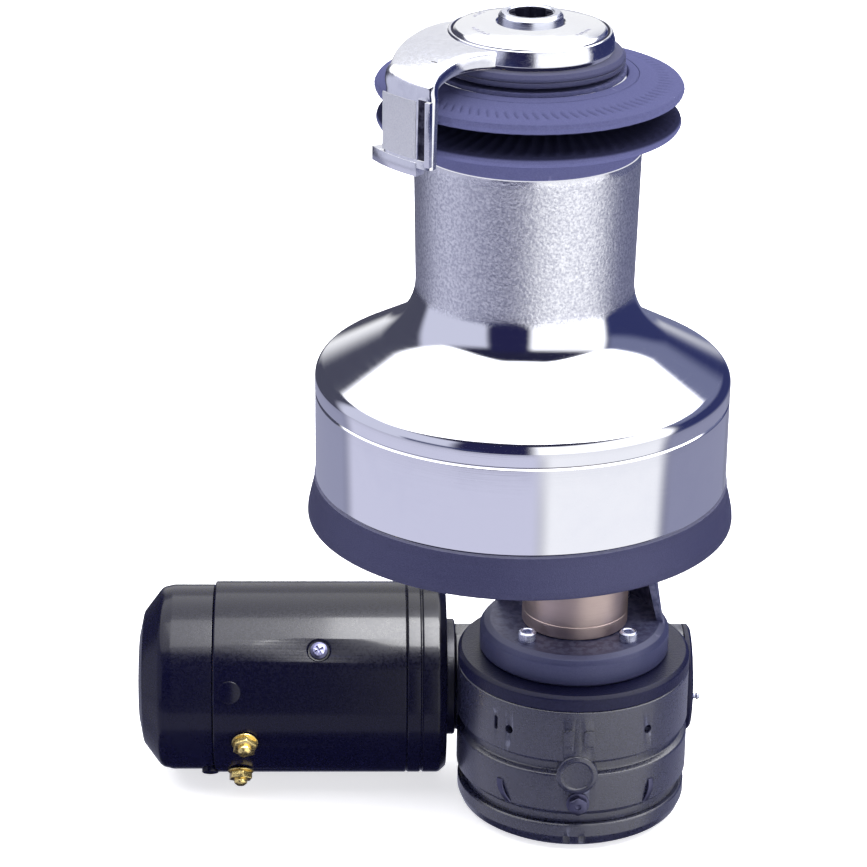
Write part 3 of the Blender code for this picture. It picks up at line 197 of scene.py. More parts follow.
# a closed profile of (radius, height) swept round; wave moves a point by its angle
def lathe(name, profile, finish, sides=192, wave=None, **place):
    bm = bmesh.new()
    rows = []
    for radius, height in profile:
        if radius < 1e-6:
            rows.append([bm.verts.new((0, 0, height))])
            continue
        row = []
        for i in range(sides):
            angle = 2 * math.pi * i / sides
            across, up = wave(radius, angle, height) if wave else (radius, height)
            row.append(bm.verts.new(ringPoint(across, angle, up)))
        rows.append(row)
    solid = len(rows[0]) == 1 and len(rows[-1]) == 1
    for row, after in zip(rows, rows[1:] if solid else rows[1:] + rows[:1]):
        for i in range(sides):
            j = (i + 1) % sides
            corners = [row[i % len(row)], row[j % len(row)], after[j % len(after)], after[i % len(after)]]
            corners = list(dict.fromkeys(corners))
            if len(corners) > 2:
                bm.faces.new(corners)
    return made(name, bm, finish, **place)


# a small solid about +Z at the origin, turned from points in millimetres
def turnedSmall(name, points, finish, sides):
    outline = rounded([tuple(value * mm for value in point) for point in points], closed=False)
    return lathe(name, outline, finish, sides=sides)


def circle(radius, sides, centre=(0, 0), phase=0.0):
    return [(centre[0] + radius * math.cos(2 * math.pi * i / sides + phase),
             centre[1] + radius * math.sin(2 * math.pi * i / sides + phase)) for i in range(sides)]


def band(inner, outer, start, end, steps, centre=(0, 0)):
    angles = [math.radians(start + (end - start) * i / steps) for i in range(steps + 1)]
    return ([(centre[0] + outer * math.cos(a), centre[1] + outer * math.sin(a)) for a in angles]
            + [(centre[0] + inner * math.cos(a), centre[1] + inner * math.sin(a)) for a in reversed(angles)])


# an outline with holes between two heights, its edges bevelled
def slab(name, outline, low, high, finish, holes=(), bevel=0.0, segments=3, **place):
    loops = [list(outline)] + [list(inner) for inner in holes]
    bm = bmesh.new()
    bottom = [[bm.verts.new((x, y, low)) for x, y in loop] for loop in loops]
    top = [[bm.verts.new((x, y, high)) for x, y in loop] for loop in loops]
    flat = [vert for loop in bottom for vert in loop]
    flatTop = [vert for loop in top for vert in loop]
    for a, b, c in tessellate_polygon([[Vector((x, y, 0)) for x, y in loop] for loop in loops]):
        bm.faces.new((flat[a], flat[b], flat[c]))
        bm.faces.new((flatTop[a], flatTop[c], flatTop[b]))
    for below, above in zip(bottom, top):
        for i in range(len(below)):
            j = (i + 1) % len(below)
            bm.faces.new((below[i], below[j], above[j], above[i]))
    piece = made(name, bm, finish, **place)
    if bevel:
        softened(piece, bevel, segments)
    return piece


# the piece with its modifiers applied
def settled(piece, sharp=35):
    graph = bpy.context.evaluated_depsgraph_get()
    mesh = bpy.data.meshes.new_from_object(piece.evaluated_get(graph))
    before = piece.data
    piece.modifiers.clear()
    piece.data = mesh
    bpy.data.meshes.remove(before)
    shadeEdges(mesh, sharp)
    return piece


def softened(piece, width, segments=3, angle=30):
    bevel = piece.modifiers.new("bevel", "BEVEL")
    bevel.width = width
    bevel.segments = segments
    bevel.angle_limit = math.radians(angle)
    bevel.harden_normals = False
    return settled(piece)


def combined(piece, others, operation="DIFFERENCE", solver="EXACT"):
    for other in others:
        modifier = piece.modifiers.new("combine", "BOOLEAN")
        modifier.operation = operation
        modifier.solver = solver
        modifier.object = other
    settled(piece)
    for other in others:
        removed(other)
    return piece


# several loose meshes become one piece
def gathered(name, pieces):
    bm = bmesh.new()
    finish = pieces[0].data.materials[0] if pieces[0].data.materials else None
    for piece in pieces:
        bm.from_mesh(piece.data)
        removed(piece)
    return newPiece(name, bm, finish)


# a rounded oblong about the origin
def lozenge(width, height, corner):
    return rounded([(-width / 2, -height / 2, corner), (width / 2, -height / 2, corner),
                    (width / 2, height / 2, corner), (-width / 2, height / 2, corner)], steps=5)


# turns a piece made about +Z at the origin so that +Z points outward, and puts its foot at a spot
def stoodOn(piece, spot, outward, spin=0.0):
    turn = Vector(outward).to_track_quat("Z", "Y").to_matrix().to_4x4()
    piece.data.transform(Matrix.Translation(spot) @ turn @ Matrix.Rotation(spin, 4, "Z"))
    return piece


# which body a piece rides on and the nodes it stands for, which are hidden; the material slot name is not
# used
def settle(piece, body, slotName, *replaced):
    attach(piece, body)
    if replaced:
        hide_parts(*replaced)
    return piece


# Shared effects
def newGroup(name, inputs, outputs):
    group = bpy.data.node_groups.new(name, "ShaderNodeTree")
    for label, value in inputs.items():
        kind = "NodeSocketVector" if isinstance(value, tuple) else "NodeSocketFloat"
        group.interface.new_socket(label, in_out="INPUT", socket_type=kind).default_value = value
    for label in outputs:
        group.interface.new_socket(label, in_out="OUTPUT", socket_type="NodeSocketFloat")
    return group, group.nodes.new("NodeGroupInput"), group.nodes.new("NodeGroupOutput")


def addNode(tree, kind, **settings):
    node = tree.nodes.new(kind)
    for name, value in settings.items():
        setattr(node, name, value)
    return node


def calc(tree, operation, first, second=None, clamp=False):
    node = addNode(tree, "ShaderNodeMath", operation=operation, use_clamp=clamp)
    for socket, value in zip(node.inputs, (first, second)):
        if value is None:
            continue
        if isinstance(value, (int, float)):
            socket.default_value = value
        else:
            tree.links.new(value, socket)
    return node.outputs[0]


def blended(tree, factor, first, second):
    node = addNode(tree, "ShaderNodeMix", data_type="RGBA")
    for socket, value in ((node.inputs[0], factor), (node.inputs[6], first), (node.inputs[7], second)):
        if isinstance(value, (int, float)):
            socket.default_value = value
        elif isinstance(value, tuple):
            socket.default_value = (*value, 1.0)
        else:
            tree.links.new(value, socket)
    return node.outputs[2]


def spread(tree, value, low, high, start=0.0, end=1.0):
    node = addNode(tree, "ShaderNodeMapRange", interpolation_type="SMOOTHSTEP")
    tree.links.new(value, node.inputs["Value"])
    for label, number in (("From Min", low), ("From Max", high), ("To Min", start), ("To Max", end)):
        if isinstance(number, (int, float)):
            node.inputs[label].default_value = number
        else:
            tree.links.new(number, node.inputs[label])
    return node.outputs["Result"]


def objectSpot(tree):
    return addNode(tree, "ShaderNodeTexCoord").outputs["Object"]


# fine lines left by a lathe, drawn out across the stretch axis
def buildToolMarks():
    group, given, result = newGroup("tool marks", dict(Stretch=(40.0, 40.0, 4000.0)), ("Height", "Mask"))
    scale = addNode(group, "ShaderNodeVectorMath", operation="MULTIPLY")
    group.links.new(objectSpot(group), scale.inputs[0])
    group.links.new(given.outputs["Stretch"], scale.inputs[1])
    noise = addNode(group, "ShaderNodeTexNoise")
    noise.inputs["Scale"].default_value = 1.0
    noise.inputs["Detail"].default_value = 5.0
    noise.inputs["Roughness"].default_value = 0.6
    group.links.new(scale.outputs[0], noise.inputs["Vector"])
    group.links.new(calc(group, "SUBTRACT", noise.outputs["Fac"], 0.5), result.inputs["Height"])
    group.links.new(spread(group, noise.outputs["Fac"], 0.42, 0.6), result.inputs["Mask"])
    return group


# the skin of a casting or of blasted metal
def buildCastGrain():
    group, given, result = newGroup("cast grain", dict(Scale=900.0, Pits=0.4), ("Height", "Mask"))
    spot = objectSpot(group)
    noise = addNode(group, "ShaderNodeTexNoise")
    noise.inputs["Detail"].default_value = 6.0
    noise.inputs["Roughness"].default_value = 0.65
    cells = addNode(group, "ShaderNodeTexVoronoi", feature="SMOOTH_F1")
    for node in (noise, cells):
        group.links.new(spot, node.inputs["Vector"])
        group.links.new(given.outputs["Scale"], node.inputs["Scale"])
    pits = calc(group, "MULTIPLY", cells.outputs["Distance"], given.outputs["Pits"])
    group.links.new(calc(group, "SUBTRACT", noise.outputs["Fac"], pits), result.inputs["Height"])
    group.links.new(spread(group, noise.outputs["Fac"], 0.35, 0.65), result.inputs["Mask"])
    return group


# uneven dulling, handling marks and old grease, in large soft patches
def buildPatches():
    group, given, result = newGroup("patches", dict(Scale=12.0, Low=0.45, High=0.75), ("Mask",))
    broad = addNode(group, "ShaderNodeTexNoise")
    broad.inputs["Detail"].default_value = 4.0
    fine = addNode(group, "ShaderNodeTexNoise")
    fine.inputs["Detail"].default_value = 8.0
    spot = objectSpot(group)
    for node, scale in ((broad, 1.0), (fine, 9.0)):
        group.links.new(spot, node.inputs["Vector"])
        group.links.new(calc(group, "MULTIPLY", given.outputs["Scale"], scale), node.inputs["Scale"])
    both = calc(group, "ADD", calc(group, "MULTIPLY", broad.outputs["Fac"], 0.75),
                calc(group, "MULTIPLY", fine.outputs["Fac"], 0.25))
    group.links.new(spread(group, both, given.outputs["Low"], given.outputs["High"]), result.inputs["Mask"])
    return group


# Mask is where an edge is proud enough to be rubbed, Hollow is painted shade where a corner is sunk
def buildEdgeWearAndShade():
    group, given, result = newGroup("edge wear", dict(Start=0.52, End=0.62, Scale=180.0), ("Mask", "Hollow"))
    proud = addNode(group, "ShaderNodeNewGeometry").outputs["Pointiness"]
    noise = addNode(group, "ShaderNodeTexNoise")
    noise.inputs["Detail"].default_value = 5.0
    group.links.new(objectSpot(group), noise.inputs["Vector"])
    group.links.new(given.outputs["Scale"], noise.inputs["Scale"])
    edge = spread(group, proud, given.outputs["Start"], given.outputs["End"])
    group.links.new(calc(group, "MULTIPLY", edge, spread(group, noise.outputs["Fac"], 0.38, 0.62)),
                    result.inputs["Mask"])
    group.links.new(spread(group, proud, 0.40, 0.485, 1.0, 0.0), result.inputs["Hollow"])
    return group


# one between two heights, with soft ends
def buildZone():
    group, given, result = newGroup("zone", dict(Low=0.0, High=0.1, Soft=0.002), ("Mask",))
    apart = addNode(group, "ShaderNodeSeparateXYZ")
    group.links.new(objectSpot(group), apart.inputs[0])
    height = apart.outputs["Z"]
    rise = spread(group, height, given.outputs["Low"],
                  calc(group, "ADD", given.outputs["Low"], given.outputs["Soft"]))
    fall = spread(group, height, calc(group, "SUBTRACT", given.outputs["High"], given.outputs["Soft"]),
                  given.outputs["High"], 1.0, 0.0)
    group.links.new(calc(group, "MULTIPLY", rise, fall), result.inputs["Mask"])
    return group


toolMarks = buildToolMarks()
castGrain = buildCastGrain()
patches = buildPatches()
edgeWearAndShade = buildEdgeWearAndShade()
zone = buildZone()


def effect(tree, group, **values):
    node = addNode(tree, "ShaderNodeGroup", node_tree=group)
    for label, value in values.items():
        node.inputs[label].default_value = value
    return node


# an effect's mask, weakened to a share
def partly(tree, node, share, output="Mask"):
    return calc(tree, "MULTIPLY", node.outputs[output], share)


def newMaterial(name, colour, metallic, roughness, coat=0.0, coatRoughness=0.1, specular=0.5):
    material = bpy.data.materials.new(name)
    material.use_nodes = True
    tree = material.node_tree
    shader = tree.nodes["Principled BSDF"]
    shader.inputs["Base Color"].default_value = (*colour, 1.0)
    shader.inputs["Metallic"].default_value = metallic
    shader.inputs["Roughness"].default_value = roughness
    shader.inputs["Coat Weight"].default_value = coat
    shader.inputs["Coat Roughness"].default_value = coatRoughness
    shader.inputs["Specular IOR Level"].default_value = specular
    return material, tree, shader


def bumped(tree, shader, height, depth, distance=0.001):
    bump = addNode(tree, "ShaderNodeBump")
    bump.inputs["Strength"].default_value = depth
    bump.inputs["Distance"].default_value = distance
    tree.links.new(height, bump.inputs["Height"])
    tree.links.new(bump.outputs["Normal"], shader.inputs["Normal"])


# a turned or polished metal: lathe lines, soft dull patches and slightly brighter or darker edges
def turnedMetal(name, look):
    material, tree, shader = newMaterial(name, look["colour"], look.get("metallic", 1.0), look["roughness"])
    marks = effect(tree, toolMarks, Stretch=look["stretch"])
    dull = effect(tree, patches, Scale=look.get("patchScale", 14.0), Low=0.42, High=0.72)
    wearAndShade = effect(tree, edgeWearAndShade, Start=0.53, End=0.64, Scale=220.0)
    base = blended(tree, partly(tree, dull, look.get("stain", 0.35)), look["colour"],
                   look["stainColour"])
    tree.links.new(blended(tree, partly(tree, wearAndShade, 0.5), base, look["edgeColour"]),
                   shader.inputs["Base Color"])
    smoothest = look["roughness"]
    rough = spread(tree, marks.outputs["Mask"], 0.0, 1.0, smoothest, smoothest + look["marks"])
    tree.links.new(calc(tree, "ADD", rough, partly(tree, dull, look.get("dulling", 0.06))),
                   shader.inputs["Roughness"])
    bumped(tree, shader, marks.outputs["Height"], look["depth"], 0.0004)
    return material


# a painted, anodised or coated casting: grain under the coat, rubbed edges, dusty patches, painted shade
# darkening its sunk corners, and a band of painted shade where the look gives one
def coatedCasting(name, look):
    material, tree, shader = newMaterial(name, look["colour"], look.get("metallic", 0.0), look["roughness"],
                                         look.get("coat", 0.0), look.get("coatRoughness", 0.15),
                                         look.get("specular", 0.5))
    grain = effect(tree, castGrain, Scale=look["grain"], Pits=look.get("pits", 0.4))
    dust = effect(tree, patches, Scale=look.get("patchScale", 20.0), Low=0.45, High=0.78)
    wearAndShade = effect(tree, edgeWearAndShade, Start=look.get("wearStart", 0.55), End=0.68, Scale=260.0)
    speckled = blended(tree, partly(tree, grain, look.get("speckle", 0.25)),
                       look["colour"], look["speckColour"])
    dusty = blended(tree, partly(tree, dust, look.get("dust", 0.25)), speckled,
                    look["dustColour"])
    rubbed = blended(tree, partly(tree, wearAndShade, look.get("wear", 0.4)), dusty,
                     look["wearColour"])
    # painted shade: sunk corners and grooves darkened towards near-black
    tree.links.new(blended(tree, partly(tree, wearAndShade, look.get("hollowShade", 0.5), "Hollow"), rubbed,
                           look.get("hollowColour", (0.004, 0.004, 0.012))), shader.inputs["Base Color"])
    rough = spread(tree, grain.outputs["Mask"], 0.0, 1.0, look["roughness"] - 0.04, look["roughness"] + 0.05)
    tree.links.new(calc(tree, "ADD", rough, partly(tree, dust, 0.10)),
                   shader.inputs["Roughness"])
    bumped(tree, shader, grain.outputs["Height"], look["depth"], 0.0005)
    # painted shade: between two heights the colour is darkened towards near-black
    if "paintedShadeZone" in look:
        low, high, soft = look["paintedShadeZone"]
        shade = effect(tree, zone, Low=low, High=high, Soft=soft).outputs["Mask"]
        before = shader.inputs["Base Color"].links[0].from_socket
        tree.links.new(blended(tree, calc(tree, "MULTIPLY", shade, 0.74), before, (0.002, 0.002, 0.010)),
                       shader.inputs["Base Color"])
    return material


roundZ = (30.0, 30.0, 3200.0)
roundX = (3200.0, 30.0, 30.0)
everyWay = (900.0, 900.0, 900.0)

capChrome = turnedMetal("cap_chrome", dict(
    colour=(0.86, 0.87, 0.92), roughness=0.10, stretch=(60.0, 60.0, 900.0), marks=0.04, depth=0.02,
    dulling=0.05, stainColour=(0.72, 0.74, 0.84), edgeColour=(0.95, 0.96, 1.0)))
spindleSteel = turnedMetal("spindle_steel", dict(
    colour=(0.62, 0.64, 0.74), roughness=0.20, stretch=roundZ, marks=0.10, depth=0.10,
    stainColour=(0.30, 0.31, 0.40), edgeColour=(0.90, 0.91, 0.96)))
tubeBronze = turnedMetal("tube_bronze", dict(
    colour=(0.50, 0.40, 0.38), roughness=0.34, stretch=(26.0, 26.0, 2400.0), marks=0.14, depth=0.22,
    stainColour=(0.30, 0.22, 0.22), edgeColour=(0.70, 0.58, 0.52)))
gearBronze = turnedMetal("gear_bronze", dict(
    colour=(0.56, 0.41, 0.25), roughness=0.32, stretch=everyWay, marks=0.10, depth=0.12,
    stainColour=(0.26, 0.18, 0.12), edgeColour=(0.80, 0.66, 0.45)))
gearSteel = turnedMetal("gear_steel", dict(
    colour=(0.52, 0.53, 0.56), roughness=0.30, stretch=(300.0, 300.0, 900.0), marks=0.12, depth=0.15,
    stainColour=(0.22, 0.21, 0.20), edgeColour=(0.82, 0.83, 0.85)))
shaftSteel = turnedMetal("shaft_steel", dict(
    colour=(0.56, 0.57, 0.60), roughness=0.22, stretch=roundX, marks=0.10, depth=0.12,
    stainColour=(0.28, 0.27, 0.27), edgeColour=(0.85, 0.86, 0.88)))
boltSteel = turnedMetal("bolt_steel", dict(
    colour=(0.50, 0.52, 0.66), roughness=0.24, stretch=(90.0, 90.0, 2600.0), marks=0.12, depth=0.12,
    stainColour=(0.20, 0.21, 0.30), edgeColour=(0.90, 0.92, 1.0)))
darkSteel = turnedMetal("dark_steel", dict(
    colour=(0.10, 0.10, 0.17), roughness=0.30, stretch=everyWay, marks=0.12, depth=0.14,
    stainColour=(0.04, 0.04, 0.08), edgeColour=(0.45, 0.46, 0.56)))
springSteel = turnedMetal("spring_steel", dict(
    colour=(0.30, 0.31, 0.36), roughness=0.28, stretch=everyWay, marks=0.10, depth=0.10,
    stainColour=(0.16, 0.15, 0.17), edgeColour=(0.60, 0.61, 0.65)))
studBrass = turnedMetal("stud_brass", dict(
    colour=(0.86, 0.68, 0.28), roughness=0.22, stretch=(700.0, 2600.0, 2600.0), marks=0.12, depth=0.14,
    stainColour=(0.46, 0.30, 0.10), edgeColour=(1.0, 0.86, 0.48)))
coilCopper = turnedMetal("coil_copper", dict(
    colour=(0.66, 0.34, 0.22), roughness=0.30, stretch=(2200.0, 300.0, 300.0), marks=0.14, depth=0.25,
    stainColour=(0.30, 0.14, 0.10), edgeColour=(0.86, 0.56, 0.42)))

skirtCoat = coatedCasting("skirt_anodised", dict(
    colour=(0.0284, 0.0294, 0.0815), metallic=0.35, roughness=0.50, grain=1500.0, depth=0.30, speckle=0.45,
    speckColour=(0.0595, 0.0613, 0.142), dustColour=(0.051, 0.0521, 0.113), wearColour=(0.147, 0.153, 0.27)))
# the rope channel between the jaws gets painted shade between these heights
jawCoat = coatedCasting("jaw_anodised", dict(
    colour=(0.0766, 0.0799, 0.173), metallic=0.0, specular=0.0, roughness=0.46, hollowShade=0.25,
    paintedShadeZone=(247.2 * mm, 263.8 * mm, 1.6 * mm), grain=1300.0, depth=0.30, speckle=0.45,
    speckColour=(0.111, 0.116, 0.228), dustColour=(0.0832, 0.086, 0.174), wearColour=(0.244, 0.251, 0.388)))
ringCoat = coatedCasting("ring_anodised", dict(
    colour=(0.0528, 0.0544, 0.113), metallic=0.0, specular=0.05, roughness=0.36, grain=1500.0, depth=0.18,
    speckle=0.35, speckColour=(0.0869, 0.0904, 0.158), dustColour=(0.0621, 0.0636, 0.117),
    wearColour=(0.155, 0.159, 0.233)))
flangeCoat = coatedCasting("flange_anodised", dict(
    colour=(0.0386, 0.042, 0.0994), metallic=0.2, specular=0.3, roughness=0.36, grain=1100.0, depth=0.16,
    speckle=0.35, speckColour=(0.0638, 0.0672, 0.137), dustColour=(0.047, 0.0487, 0.0977),
    wearColour=(0.202, 0.208, 0.328)))
gearboxPaint = coatedCasting("gearbox_paint", dict(
    colour=(0.0054, 0.00585, 0.0256), roughness=0.34, grain=700.0, depth=0.45, coat=0.1,
    coatRoughness=0.25, specular=0.15, speckle=0.5, speckColour=(0.0117, 0.0121, 0.0445),
    dustColour=(0.0225, 0.0234, 0.0728),
    wearColour=(0.072, 0.0765, 0.205), wear=0.5))
bodyPaint = coatedCasting("gearbox_body_paint", dict(
    colour=(0.010, 0.011, 0.032), roughness=0.30, grain=700.0, depth=0.40, coat=0.9, coatRoughness=0.24,
    specular=0.6, speckle=0.5, speckColour=(0.022, 0.023, 0.055), dustColour=(0.034, 0.036, 0.080),
    wearColour=(0.14, 0.15, 0.24), wear=0.5))
motorPaint = coatedCasting("motor_paint", dict(
    colour=(0.00198, 0.00198, 0.0131), roughness=0.26, grain=520.0, depth=0.05, coat=0.22, coatRoughness=0.10,
    specular=0.12, speckle=0.3, speckColour=(0.00347, 0.00347, 0.0185), dust=0.2,
    dustColour=(0.00743, 0.0077, 0.03),
    wearColour=(0.0248, 0.0272, 0.0926), wear=0.35, patchScale=9.0))
panelPlastic = coatedCasting("panel_plastic", dict(
    colour=(0.269, 0.275, 0.336), roughness=0.55, grain=1400.0, depth=0.5, speckle=0.6,
    speckColour=(0.376, 0.382, 0.43), dustColour=(0.229, 0.235, 0.296), wearColour=(0.47, 0.477, 0.525)))
# near-black finish: painted shade in the guide's slot, the handle socket and the gap round the cap; also used
# for the blade's small mark
slotBlack = coatedCasting("slot_black", dict(
    colour=(0.006, 0.006, 0.016), roughness=0.6, specular=0.05, grain=900.0, depth=0.3, speckle=0.3,
    speckColour=(0.014, 0.014, 0.028), dustColour=(0.03, 0.03, 0.045), wearColour=(0.08, 0.08, 0.12)))
brushCarbon = coatedCasting("brush_carbon", dict(
    colour=(0.030, 0.030, 0.032), roughness=0.65, grain=2200.0, depth=0.35, speckle=0.4,
    speckColour=(0.06, 0.06, 0.062), dustColour=(0.08, 0.07, 0.06), wearColour=(0.12, 0.12, 0.12)))
markInk = coatedCasting("mark_ink", dict(
    colour=(0.10, 0.10, 0.19), roughness=0.45, grain=1800.0, depth=0.15, speckle=0.4,
    speckColour=(0.17, 0.17, 0.27), dustColour=(0.20, 0.20, 0.30), wearColour=(0.5, 0.5, 0.6)))
markRed = coatedCasting("mark_red", dict(
    colour=(0.62, 0.20, 0.24), roughness=0.45, grain=1800.0, depth=0.15, speckle=0.4,
    speckColour=(0.75, 0.42, 0.46), dustColour=(0.8, 0.6, 0.62), wearColour=(0.85, 0.7, 0.7)))
print("materials ready")


# Base skirt
base = dict(foot=(baseHigh.x - baseLow.x) / 2, top=(drumHigh.x - drumLow.x) / 2 + 0.5 * mm, wall=5 * mm,
            floor=8 * mm, sides=224, boltCircle=105.0 * mm, boltHole=4.3 * mm, headRoom=8 * mm)


def makeBase(size):
    foot, top, high = size["foot"], size["top"], baseHigh.z
    flare = foot - top
    inside = top - size["wall"]
    profile = rounded([
        (inside, high, 0.5 * mm), (inside, size["floor"], 3 * mm), (0, size["floor"]), (0, 0),
        (foot - 0.2 * mm, 0, 0.7 * mm), (foot, 0.07 * high, 1.2 * mm),
        (foot - 0.05 * flare, 0.19 * high, 3 * mm), (foot - 0.40 * flare, 0.46 * high, 9 * mm),
        (foot - 0.86 * flare, 0.76 * high, 12 * mm),
        (top, 0.93 * high, 3 * mm), (top, high, 0.9 * mm)], closed=False, steps=5)
    skirt = lathe("skirt", profile, skirtCoat, sides=size["sides"])
    below, above = -0.01, size["floor"] + 0.01
    tubeRadius = (tubeHigh.x - tubeLow.x) / 2
    holes = [slab("way", circle(tubeRadius + 0.3 * mm, 64, (driveX, 0)), below, above, None)]
    for spot in circle(size["boltCircle"], 6, phase=math.pi / 6):
        holes.append(slab("way", circle(size["boltHole"], 32, spot), below, above, None))
        holes.append(slab("seat", circle(size["headRoom"], 32, spot), 0.6 * size["floor"], above, None))
    for spot in ((77.5 * mm, 0), (-62.5 * mm, 0)):
        holes.append(slab("way", circle(7.3 * mm, 32, spot), 0.25 * size["floor"], above, None))
    return settle(combined(skirt, holes), "winch_body", "dark_anodised", "base_ring")


makeBase(base)
print("skirt made")


# Drum
drum = dict(wall=(drumHigh.x - drumLow.x) / 2, foot=drumLow.z, groove=79 * mm, grooveDepth=1.1 * mm,
            shoulder=(115.6 * mm, 96.9 * mm), slope=-0.547, neckLow=(63.9 * mm, 148 * mm),
            neckHigh=(65.7 * mm, 228.5 * mm), neckTop=228.8 * mm, neckFillet=38.6 * mm, shoulderFillet=9 * mm,
            sides=256)


def drumShape(size):
    wall, groove, depth = size["wall"], size["groove"], size["grooveDepth"]
    slope = size["slope"]
    acrossCone, upCone = size["shoulder"]
    lowNeck, highNeck = Vector(size["neckLow"]), Vector(size["neckHigh"])
    lean = (highNeck.x - lowNeck.x) / (highNeck.y - lowNeck.y)
    # the cone and the neck are two lines that would meet here
    up = (upCone + slope * (lowNeck.x - lean * lowNeck.y - acrossCone)) / (1 - slope * lean)
    meet = (lowNeck.x + lean * (up - lowNeck.y), up)
    top = upCone + slope * (wall - acrossCone)
    return rounded([
        (wall - 1.2 * mm, size["foot"]), (wall - 0.2 * mm, size["foot"] + 0.9 * mm, 1.0 * mm),
        (wall - 0.1 * mm, groove - 1.0 * mm, 0.5 * mm), (wall - depth, groove - 0.25 * mm),
        (wall - depth, groove + 0.25 * mm), (wall, groove + 1.0 * mm, 0.5 * mm),
        (wall, top, size["shoulderFillet"]), (*meet, size["neckFillet"]),
        (highNeck.x, size["neckTop"], 0.8 * mm)], closed=False, steps=12)


def makeDrum(size):
    neckTop = size["neckTop"]
    seat, sleeveBore, sleeve = 47.0 * mm, 40.5 * mm, 48 * mm
    inside = size["wall"] - 10.8 * mm
    lowSeat, highSeat = (86 * mm, 110 * mm), (neckTop - 30.8 * mm, neckTop - 6.8 * mm)
    profile = drumShape(size) + [
        (sleeve, neckTop), (sleeve, drumHigh.z - 0.8 * mm), (sleeve - 0.8 * mm, drumHigh.z),
        (sleeveBore, drumHigh.z), (sleeveBore, highSeat[1]), (seat, highSeat[1]), (seat, highSeat[0]),
        (seat + 5 * mm, highSeat[0] - 3 * mm), (seat + 5 * mm, lowSeat[1] + 3 * mm), (seat, lowSeat[1]),
        (seat, lowSeat[0]), (seat + 9 * mm, lowSeat[0]), (seat + 13 * mm, 104 * mm), (84 * mm, 104 * mm),
        (100 * mm, 95 * mm), (108.3 * mm, 88 * mm), (inside, 82 * mm), (inside, size["foot"])]
    return settle(lathe("drum_shell", profile, drumChrome, sides=size["sides"], sharp=28),
                  "drum_body", "chrome", "drum")


def buildDrumChrome():
    material, tree, shader = newMaterial("drum_chrome", (0.80, 0.81, 0.88), 1.0, 0.07)
    satin = effect(tree, zone, Low=139 * mm, High=drum["neckTop"] + 1 * mm, Soft=7 * mm).outputs["Mask"]
    marks = effect(tree, toolMarks, Stretch=(24.0, 24.0, 1500.0))
    peened = effect(tree, castGrain, Scale=620.0, Pits=0.5)
    dull = effect(tree, patches, Scale=11.0, Low=0.45, High=0.8)
    stained = blended(tree, partly(tree, dull, 0.30), (0.82, 0.83, 0.90),
                      (0.66, 0.68, 0.80))
    flecked = blended(tree, peened.outputs["Mask"], (0.50, 0.51, 0.60), (0.86, 0.87, 0.93))
    tree.links.new(blended(tree, satin, stained, flecked), shader.inputs["Base Color"])
    smooth = calc(tree, "ADD", spread(tree, marks.outputs["Mask"], 0.0, 1.0, 0.05, 0.085),
                  partly(tree, dull, 0.04))
    tree.links.new(calc(tree, "ADD", smooth, calc(tree, "MULTIPLY", satin, 0.24)), shader.inputs["Roughness"])
    height = calc(tree, "ADD", calc(tree, "MULTIPLY", marks.outputs["Height"], 0.03),
                  calc(tree, "MULTIPLY", calc(tree, "MULTIPLY", peened.outputs["Height"], satin), 0.8))
    bumped(tree, shader, height, 0.6, 0.0005)
    return material


drumChrome = buildDrumChrome()
makeDrum(drum)
print("drum made")


# Rope jaws
jaws = dict(ribs=60, ribStart=57 * mm, ribEnd=85 * mm, ribHeight=0.9 * mm, sides=480, tickCount=90,
            tickStart=72.5 * mm, tickEnd=81.5 * mm, tickDepth=1.1 * mm, scallop=0.25 * mm)


# 1 between low and high, falling to 0 over a soft length inside each end
def between(value, low, high, soft):
    return max(0.0, min(1.0, (value - low) / soft)) * max(0.0, min(1.0, (high - value) / soft))


def ribbed(size, radius, angle):
    start, end = size["ribStart"], size["ribEnd"]
    tooth = 0.5 + 0.5 * math.cos(size["ribs"] * (angle + 2.4 * (radius - start)))
    return size["ribHeight"] * tooth ** 1.5 * between(radius, start, end, 2.5 * mm)


